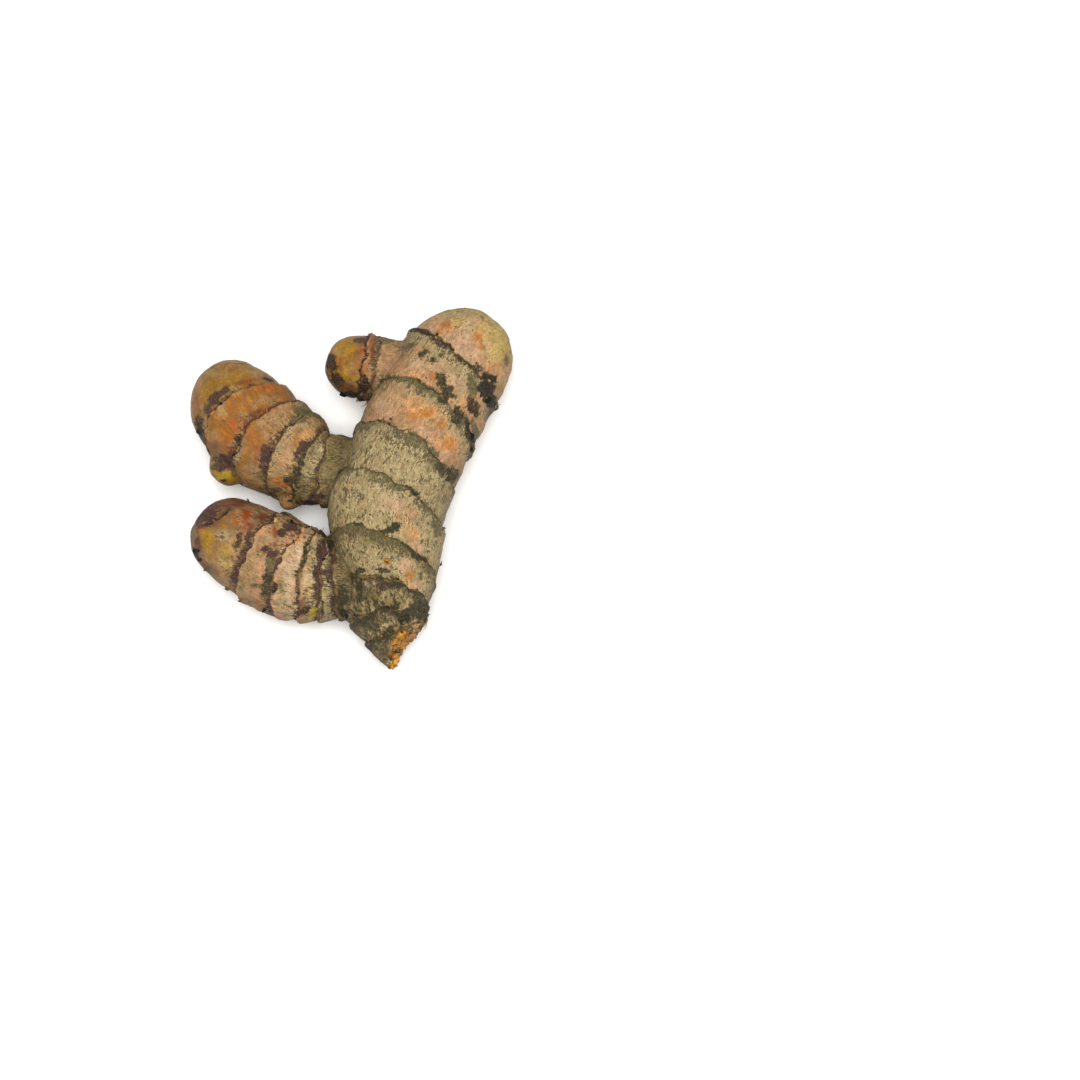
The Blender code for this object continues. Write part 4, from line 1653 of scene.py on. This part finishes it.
def rootlet_form(place, normal, draw):
    """A short root: a thin tapered tube that leaves the skin and bends along it."""
    length = draw.uniform(*ROOTLET_LENGTHS)
    radius = draw.uniform(*ROOTLET_RADII)
    bend = unit(np.cross(normal, draw.normal(size=3)))
    shares = np.linspace(0, 1, ROOTLET_ROWS)[:, None]
    spine = length * (shares * normal * ROOTLET_OUT + shares**2 * bend * ROOTLET_BEND)
    spine += place - ROOTLET_DEPTH * normal
    spine += ROOTLET_WANDER * length * shares * draw.normal(size=(ROOTLET_ROWS, 3))
    radii = radius * (1 - ROOTLET_TAPER * shares**1.5)
    forward = unit(np.gradient(spine, axis=0))
    first = unit(np.cross(forward, unit(np.cross(normal, bend)) + 0.01))
    second = np.cross(first, forward)
    turns = np.linspace(0, 2 * math.pi, ROOTLET_SIDES, endpoint=False)
    rings = [spine + radii * (first * math.cos(turn) + second * math.sin(turn)) for turn in turns]
    tube = np.stack(rings, 1).reshape(-1, 3)
    return np.vstack([tube, spine[0], spine[-1]]), shell_faces(ROOTLET_ROWS, ROOTLET_SIDES)


def seen_scales(tree, draw):
    """The scales that the photograph shows, each with its tone."""
    for x, y, degrees, width, length, lift, tone in SEEN_SCALES:
        place, normal = skin_in_photo(tree, x, y)
        if place is not None:
            turn = math.radians(degrees)
            heading = math.cos(turn) * RIGHT + math.sin(turn) * UPWARD
            yield scale_form(place, normal, heading, width, length, lift, draw), tone


def ring_scales(tree, grown, draw):
    """Small seeded scales along a limb's rings, fewer where it is thin."""
    for line in grown.ring_lines[1:]:
        count = round(SCALES_PER_RING * grown.thickness(line.mean()) ** 2)
        for angle in draw.uniform(-math.pi, math.pi, count):
            station = np.interp(angle, RING_ANGLES, line) + draw.normal(0, SCALE_STRAY)
            size = [draw.uniform(*span) for span in (SCALE_WIDTHS, SCALE_LENGTHS, SCALE_LIFTS)]
            tone = str(draw.choice(SCALE_TONES))
            place, normal = skin_on_limb(tree, grown, station, angle)
            if place is not None:
                ahead = grown.along(np.array([station]), grown.tangents)[0]
                heading = ahead + SCALE_TURN * draw.normal(size=3)
                yield scale_form(place, normal, heading, *size, draw), tone


def rootlets(tree, grown, draw):
    """Seeded rootlets low on a limb, just past its rings."""
    for _ in range(ROOTLETS_PER_LIMB):
        line = grown.ring_lines[draw.integers(1, len(grown.ring_lines))]
        angle = draw.uniform(*ROOTLET_ANGLES)
        station = np.interp(angle, RING_ANGLES, line) + ROOTLET_PAST_RING
        place, normal = skin_on_limb(tree, grown, station, angle)
        if place is not None and place[2] > LOWEST_ROOTLET:
            yield rootlet_form(place, normal, draw), "tan"


def loose_piece(limbs, skin):
    """The loose scales, barbs and rootlets as one piece."""
    bpy.context.view_layer.update()
    tree = BVHTree.FromObject(skin, bpy.context.evaluated_depsgraph_get())
    draw = np.random.default_rng(SEED + 1)
    toned = list(seen_scales(tree, draw))
    for grown in limbs:
        toned += ring_scales(tree, grown, draw)
        toned += rootlets(tree, grown, draw)
    forms = [form for form, _ in toned]
    colours = [np.tile(TONES[tone][:3], (len(corners), 1)) for (corners, _), tone in toned]
    return trim_piece("scales_and_rootlets", forms, colours)


# The floor's half width and how far it lies under the root, in metres.
FLOOR_HALF = 3.0
FLOOR_DROP = 0.0001
SURROUND_STRENGTH = 0.36
# Two large soft lights: name, place and size in metres, power and colour.
LIGHTS = (
    ("key", (0.02, -0.24, 0.82), 0.7, 10.5, (1.0, 0.98, 0.95)),
    ("fill", (0.55, 0.20, 0.75), 0.8, 1.5, (0.98, 0.99, 1.0)),
)


def placed(name, data, spot, looking):
    """A camera or light at a spot in metres, looking the given way."""
    made = bpy.data.objects.new(name, data)
    made.location = spot
    made.rotation_euler = Vector(looking).to_track_quat("-Z", "Y").to_euler()
    bpy.context.scene.collection.objects.link(made)
    return made


def camera():
    data = bpy.data.cameras.new("camera")
    data.sensor_width = SENSOR_WIDTH
    data.lens = FOCAL_PIXELS * SENSOR_WIDTH / PHOTO_SIZE
    bpy.context.scene.camera = placed("camera", data, EYE * MM, -BACKWARD)


def soft_light(name, spot, size, power, colour):
    data = bpy.data.lights.new(name, "AREA")
    data.shape = "DISK"
    data.size = size
    data.energy = power
    data.color = colour
    placed(name, data, spot, -Vector(spot))


def floor_material():
    graph = Graph("pale_floor")
    cloud = graph.noise(graph.position(), (3.0, 3.0, 3.0))
    colour = graph.mix(cloud, (0.93, 0.93, 0.925, 1.0), (0.95, 0.95, 0.945, 1.0))
    return graph.finish(colour, graph.step(cloud, 0.3, 0.7, 0.85, 0.95), graph.bump(cloud, 0.00001))


def studio():
    """A pale floor, an even white surround and two large soft lights."""
    square = np.array([(-1, -1, 0), (1, -1, 0), (1, 1, 0), (-1, 1, 0)])
    floor = mesh_object("floor", square, [(0, 1, 2, 3)], FLOOR_HALF)
    floor.location.z = -FLOOR_DROP
    floor.data.materials.append(floor_material())

    world = bpy.data.worlds.new("surround")
    world.use_nodes = True
    background = world.node_tree.nodes["Background"]
    background.inputs["Color"].default_value = (1.0, 1.0, 1.0, 1.0)
    background.inputs["Strength"].default_value = SURROUND_STRENGTH
    bpy.context.scene.world = world
    for light in LIGHTS:
        soft_light(*light)
    bpy.context.scene.view_settings.view_transform = "Standard"


def dressed(piece, material):
    piece.data.materials.clear()
    piece.data.materials.append(material)
    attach(piece, BODY)


LIMBS = [Grown(limb) for limb in (MOTHER, UPPER_FINGER, LOWER_FINGER, KNOB)]
BUD_LIMBS = [Grown(bud_limb(number, *bud)) for number, bud in enumerate(BUDS)]

skin = grow_skin(LIMBS + BUD_LIMBS)
dressed(skin, skin_material())
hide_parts(NODE)
dry = scale_material()
dressed(fringes(LIMBS), dry)
dressed(loose_piece(LIMBS, skin), dry)

camera()
studio()
